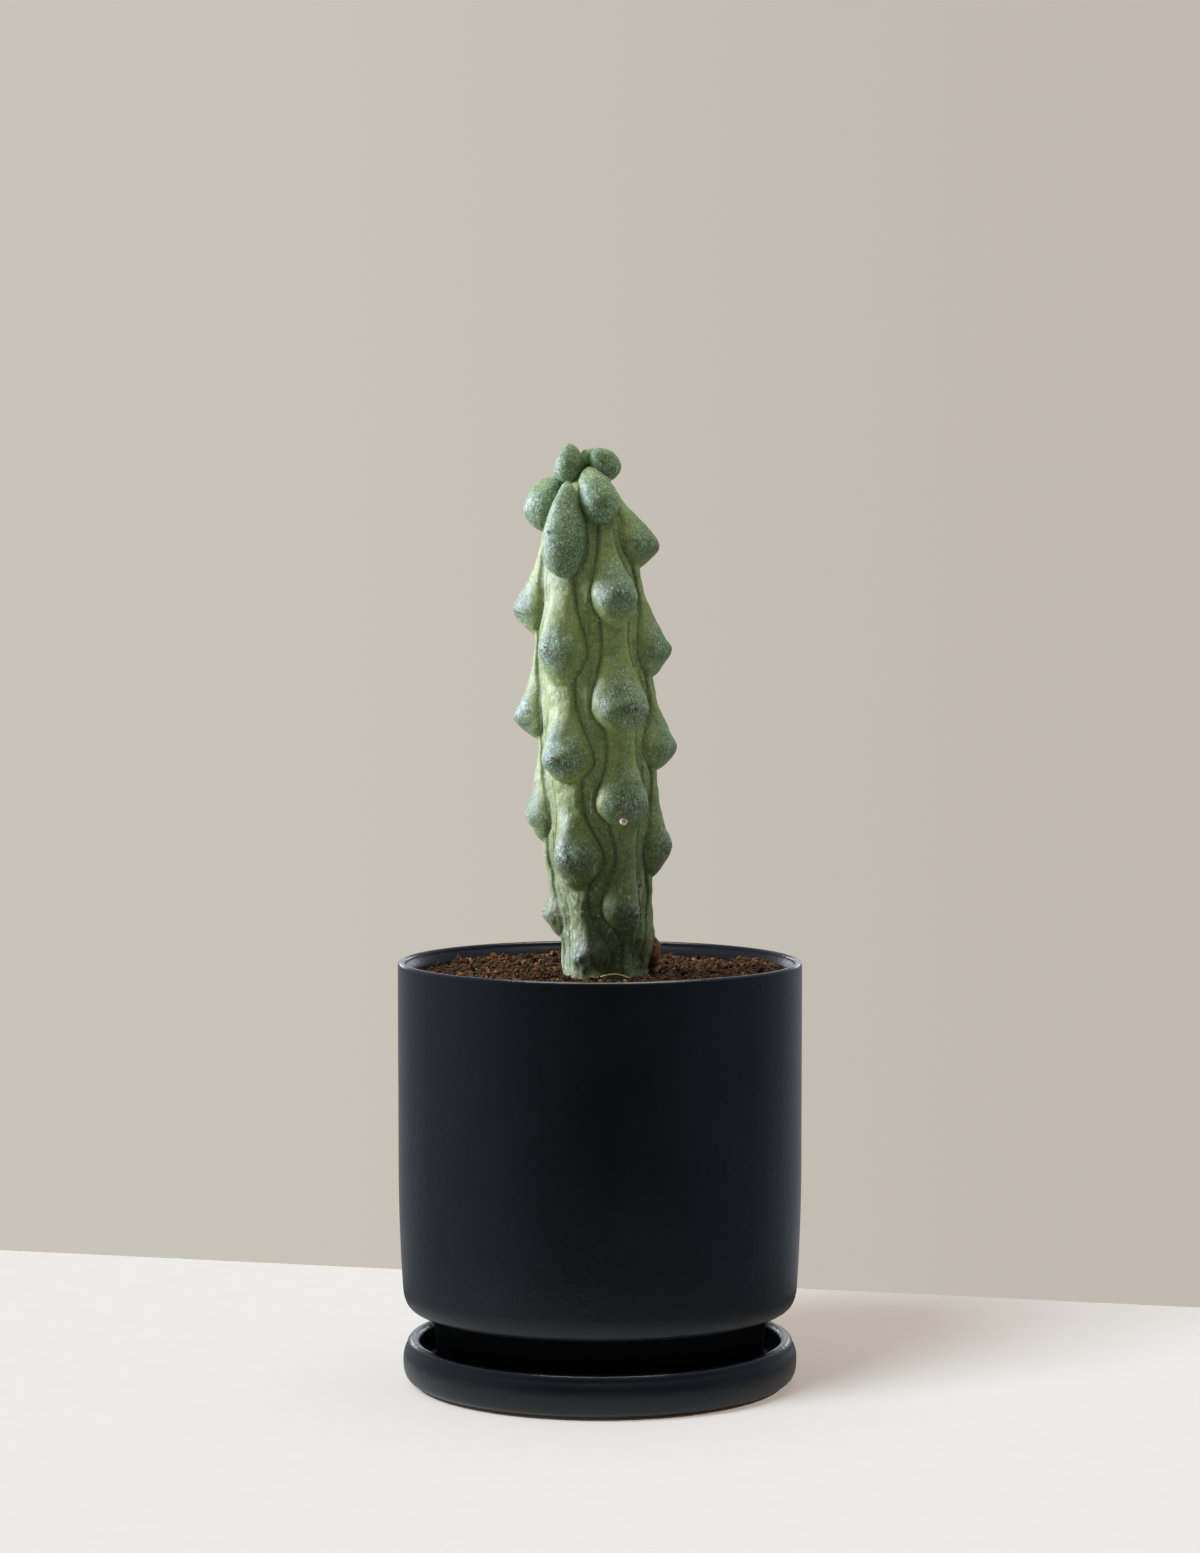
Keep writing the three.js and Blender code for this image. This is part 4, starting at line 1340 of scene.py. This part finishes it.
def black_glaze():
    f = Finish("matt_black_glaze")
    place = f.place()
    peel = f.noise(place, 480, 3, 0.5)
    pits = f.between(f.node("ShaderNodeTexVoronoi", vector=place, scale=900), 0.0, 0.16)
    cloud = f.noise(place, 26, 4, 0.6)
    dust = f.between(f.noise(place, 1500, 3, 0.7), 0.62, 0.78)
    across, deep, height = f.axes(place)
    from_axis = (across ** 2 + deep ** 2) ** 0.5
    bare_clay = f.between(height, *BARE_CLAY)
    saucer_lip = f.between(height, *SAUCER_SHINE) * f.between(height, *SAUCER_SHINE_END)
    lips = f.between(height, *LIP_SHINE) + saucer_lip
    # The inside of the pot is painted a little lighter and bluer: a painted reflection of light on its
    # inner wall.
    inside = f.between(from_axis, *INNER_WALL) * f.between(height, *INNER_WALL_FOOT)
    foot = f.between(from_axis, *FOOT_SIDE) * f.between(height, *FOOT_TOP)
    colour = f.over(
        f.tones(cloud, 0.3, 0.7, (14, 18, 22), (20, 24, 29)),
        (dust * 0.12, (92, 94, 96)),
        # painted reflection on the inner wall
        (inside * 0.2, (50, 55, 62)),
        (bare_clay * 0.8, (118, 92, 70)),
    )
    roughness = 0.34 + (cloud - 0.5) * 0.08 + (1 - pits) * 0.1 + bare_clay * 0.4 + dust * 0.1 - lips * 0.17
    relief = f.bump(peel, 0.0004, 0.3)
    relief = f.bump(pits, 0.00012, 0.4, relief)
    glazed = f.shader(base_color=colour, roughness=roughness, normal=relief, specular_ior_level=0.5)
    # A dull near-black finish for the pot's foot in its gap: painted shade, mixed in by the foot mask.
    shaded_foot = f.shader(base_color=f.mix(peel, srgb(8, 8, 9), srgb(14, 14, 16)), roughness=0.95,
                        normal=relief, specular_ior_level=0.04)
    return f.done(f.node("ShaderNodeMixShader", in_0=foot, in_1=glazed, in_2=shaded_foot))


glaze = black_glaze()
give(pot, glaze)
give(saucer, glaze)

# %% [markdown]
# ### Bark mix
#
# Wet bark is nearly black and dry bark is red-brown with paler broken faces. Each crumb and each
# spot of the bed has a tone, which picks its colour from a ramp, and a fine noise frays it.

# %% Bark
def bark_mix():
    f = Finish("bark_soil_mix")
    place = f.place()
    fray = f.noise(place, 1300, 4, 0.65)
    tone = f.mask("tone") + (fray - 0.5) * 0.45
    colour = f.node("ShaderNodeValToRGB", {"stops": [
        (0.0, srgb(32, 23, 15)), (0.3, srgb(60, 41, 26)), (0.55, srgb(88, 59, 37)),
        (0.78, srgb(124, 85, 54)), (1.0, srgb(184, 146, 100)),
    ]}, fac=tone)
    return f.surface(base_color=colour, roughness=0.92 - fray * 0.1, normal=f.bump(fray, 0.0005, 0.8),
                     specular_ior_level=0.25)


bark = bark_mix()
give(bed, bark)
give(crumbs, bark)

# %% [markdown]
# ## Table, backdrop, light and camera
#
# The photograph has a pale table top that ends behind the pot, and a plain warm wall far behind it.
# One lamp can't suit a waxy plant, a black glaze and a pale table at once, so most lamps are linked
# to the pieces that they light. The plant has a large soft key at the left and a faint fill at the
# right, the soil has a warmer key, and strips behind the pot draw the glints on its lips. Two suns
# light the table: a broad one from the front left, whose soft shadow falls to the right, and one
# from above that nothing stands in the way of. The black glaze mirrors what is round it, so the
# world is darker in front than beside and behind, and a disc that only reflections see stands in
# for the table.

# %% Stage
TABLE_EDGE = [(-237.0, 240.0), (219.0, 124.0)]
TABLE_THICKNESS = 30.0
TABLE_SPAN = 1500.0
BACKDROP_RADIUS = 6000.0
SHEEN_RADIUS = 180.0

edge_start, edge_end = (np.array([*point, 0.0]) for point in TABLE_EDGE)
edge_way = (edge_end - edge_start) / np.linalg.norm(edge_end - edge_start)
edge_middle = (edge_start + edge_end) / 2
front_way = np.array([edge_way[1], -edge_way[0], 0.0])
corners = [
    edge_middle + edge_way * TABLE_SPAN * side + front_way * 2 * TABLE_SPAN * ahead
    for side, ahead in ((-1, 0), (1, 0), (1, 1), (-1, 1))
]
table_points = np.array(corners + [corner - [0, 0, TABLE_THICKNESS] for corner in corners])
table_quads = np.array([
    [0, 3, 2, 1], [4, 5, 6, 7], [0, 1, 5, 4], [1, 2, 6, 5], [2, 3, 7, 6], [3, 0, 4, 7],
])
table = add_mesh("table_top", table_points, table_quads, NO_TRIANGLES, body=None)
faceted(table)

equator = BACKDROP_RADIUS * circle(np.array([1, 0, 0]), np.array([0, 1, 0]), 64)
dome = globe(np.radians(np.linspace(-87, 87, 30)), equator, UP * BACKDROP_RADIUS)
backdrop = add_skin("backdrop", dome, (0, 0, -BACKDROP_RADIUS), (0, 0, BACKDROP_RADIUS), body=None)
disc = SHEEN_RADIUS * facing(np.arange(0, 360, 3)) + UP * 0.2
near_table = add_skin("near_table", disc[None], (0, 0, 0.1), (0, 0, 0.2), body=None)


def hide_from(piece, *rays):
    for ray in rays:
        setattr(piece, "visible_" + ray, False)


hide_from(backdrop, "diffuse", "glossy", "shadow", "transmission")
hide_from(table, "glossy")
hide_from(near_table, "camera", "diffuse", "shadow", "transmission")


# %% Paint of the table and glow of the wall
def painted_table(name, paler, darker):
    f = Finish(name)
    grain = f.noise(f.place(), 90, 4)
    return f.surface(base_color=f.mix(grain, srgb(*darker), srgb(*paler)), roughness=0.8,
                     normal=f.bump(grain, 0.0002, 0.2), specular_ior_level=0.0)


def wall_glow():
    f = Finish("plain_backdrop")
    colour = f.tones(f.axes(f.place())[0], -1.2, 1.2, (203, 196, 185), (193, 185, 174))
    return f.done(f.node("ShaderNodeEmission", color=colour, strength=1.0))


give(table, painted_table("pale_table", (113, 112, 111), (110, 109, 108)))
give(near_table, painted_table("pale_table_sheen", (96, 95, 95), (93, 92, 92)))
give(backdrop, wall_glow())


# %% Lamps
PLANT = (column, spines, wool, bead, cork, grit, fibre)
SOIL = (bed, crumbs)
CERAMIC = (pot, saucer)
TABLE = (table, near_table)
DAYLIGHT = (0.95, 0.98, 1.0)
# Name, place, height on the axis that it is aimed at, width and height, watts, colour, what it lights
SOFT_LAMPS = [
    ("plant_key", (-1177, 207, 585), 220, (520, 520), 42, (1.0, 0.975, 1.38), PLANT),
    ("right_fill", (1195, 435, 490), 220, (520, 900), 3.5, (1.0, 1.0, 0.9), PLANT),
    ("soil_key", (-1177, 207, 585), 140, (520, 520), 20, (1.0, 0.92, 0.62), SOIL),
    ("lip_glint", (0, 2000, 430), 140, (1500, 160), 0.75, DAYLIGHT, CERAMIC),
    ("lip_glint_left", (-750, 1850, 480), 140, (500, 240), 1.0, DAYLIGHT, CERAMIC),
    ("lip_glint_right", (750, 1850, 480), 140, (500, 240), 0.8, DAYLIGHT, CERAMIC),
]


def add_lamp(name, kind, at, target, strength, colour, lit, **settings):
    """A lamp that lights the pieces in lit alone, or everything where there are none."""
    data = bpy.data.lights.new(name, kind)
    data.energy = strength
    data.color = colour
    for setting, value in settings.items():
        setattr(data, setting, value)
    lamp = bpy.data.objects.new(name, data)
    bpy.context.scene.collection.objects.link(lamp)
    lamp.visible_camera = False
    lamp.location = Vector(at) * MM
    way = Vector(target) * MM - lamp.location
    lamp.rotation_euler = way.to_track_quat("-Z", "Y").to_euler()
    if lit:
        receivers = bpy.data.collections.new(name + "_lights")
        for piece in lit:
            receivers.objects.link(piece)
        lamp.light_linking.receiver_collection = receivers
    return lamp


def soft_lamp(name, at, aimed_at, size, watts, colour, lit=()):
    """A rectangular lamp, aimed at a height on the axis."""
    width, height = size
    add_lamp(name, "AREA", at, (0, 0, aimed_at), watts, colour, lit,
             shape="RECTANGLE", size=width * MM, size_y=height * MM)


def sun_on_table(name, turn, up, spread, strength, colour):
    """Even light from far away, out of a round patch of sky of that spread in degrees."""
    up = math.radians(up)
    at = (facing(turn) * math.cos(up) + UP * math.sin(up)) / MM
    return add_lamp(name, "SUN", at, (0, 0, 0), strength, colour, TABLE, angle=math.radians(spread))


for lamp_row in SOFT_LAMPS:
    soft_lamp(*lamp_row)
sun_on_table("table_key", -45, 42, 32, 12.3, (0.775, 0.915, 1.0))
table_fill = sun_on_table("table_fill", 0, 90, 5, 7.07, (1.0, 0.856, 0.733))
nothing_in_the_way = bpy.data.collections.new("nothing_in_the_way")
nothing_in_the_way.objects.link(backdrop)
table_fill.light_linking.blocker_collection = nothing_in_the_way
soft_lamp("top_fill", (0, 100, 1500), 150, (1200, 1000), 19.5, (1.0, 0.994, 0.823))

# %% The room's glow
LEFT_GLOW = (0.252, 0.317, 0.399, 1.0)
RIGHT_GLOW = (0.104, 0.141, 0.186, 1.0)
BACK_GLOW = (0.483, 0.486, 0.538, 1.0)
CEILING_GLOW = (0.35, 0.337, 0.489, 1.0)
DARK = (0.0, 0.0, 0.0, 1.0)

world = bpy.data.worlds.new("studio")
bpy.context.scene.world = world
world.use_nodes = True
studio = Nodes(world.node_tree)
right, back, up = studio.axes(studio.node("ShaderNodeTexCoord", output=0))


def share_towards(part):
    """How far a level direction points along one axis, squared, from 0 to 1."""
    level = right ** 2 + back ** 2 + 0.0001
    forward = studio.node("ShaderNodeMath", {"operation": "MAXIMUM"}, in_0=part, in_1=0.0)
    return forward ** 2 / level


walls = studio.mix(share_towards(right), DARK, RIGHT_GLOW)
walls = studio.mix(share_towards(0 - right), walls, LEFT_GLOW)
walls = studio.mix(share_towards(back), walls, BACK_GLOW)
room = studio.mix(studio.between(up, 0.3, 0.85), walls, CEILING_GLOW)
studio.node("ShaderNodeOutputWorld", surface=studio.node("ShaderNodeBackground", color=room, strength=1.0))

# %% Camera
CAMERA_AT = (0.0, -1266.0, 274.9)
CAMERA_PITCH_DOWN = 3.25
FOCAL_PIXELS = 3807
IMAGE_HEIGHT = 1553
SENSOR = 36.0

camera_data = bpy.data.cameras.new("camera")
camera_data.sensor_width = SENSOR
camera_data.lens = FOCAL_PIXELS / IMAGE_HEIGHT * SENSOR
camera_data.clip_start, camera_data.clip_end = 0.05, 30
camera = bpy.data.objects.new("camera", camera_data)
bpy.context.scene.collection.objects.link(camera)
camera.location = Vector(CAMERA_AT) * MM
camera.rotation_euler = (math.radians(90 - CAMERA_PITCH_DOWN), 0, 0)
bpy.context.scene.camera = camera
bpy.context.scene.view_settings.view_transform = "Standard"
bpy.context.scene.view_settings.look = "None"
print("lens in mm:", round(camera_data.lens, 2))
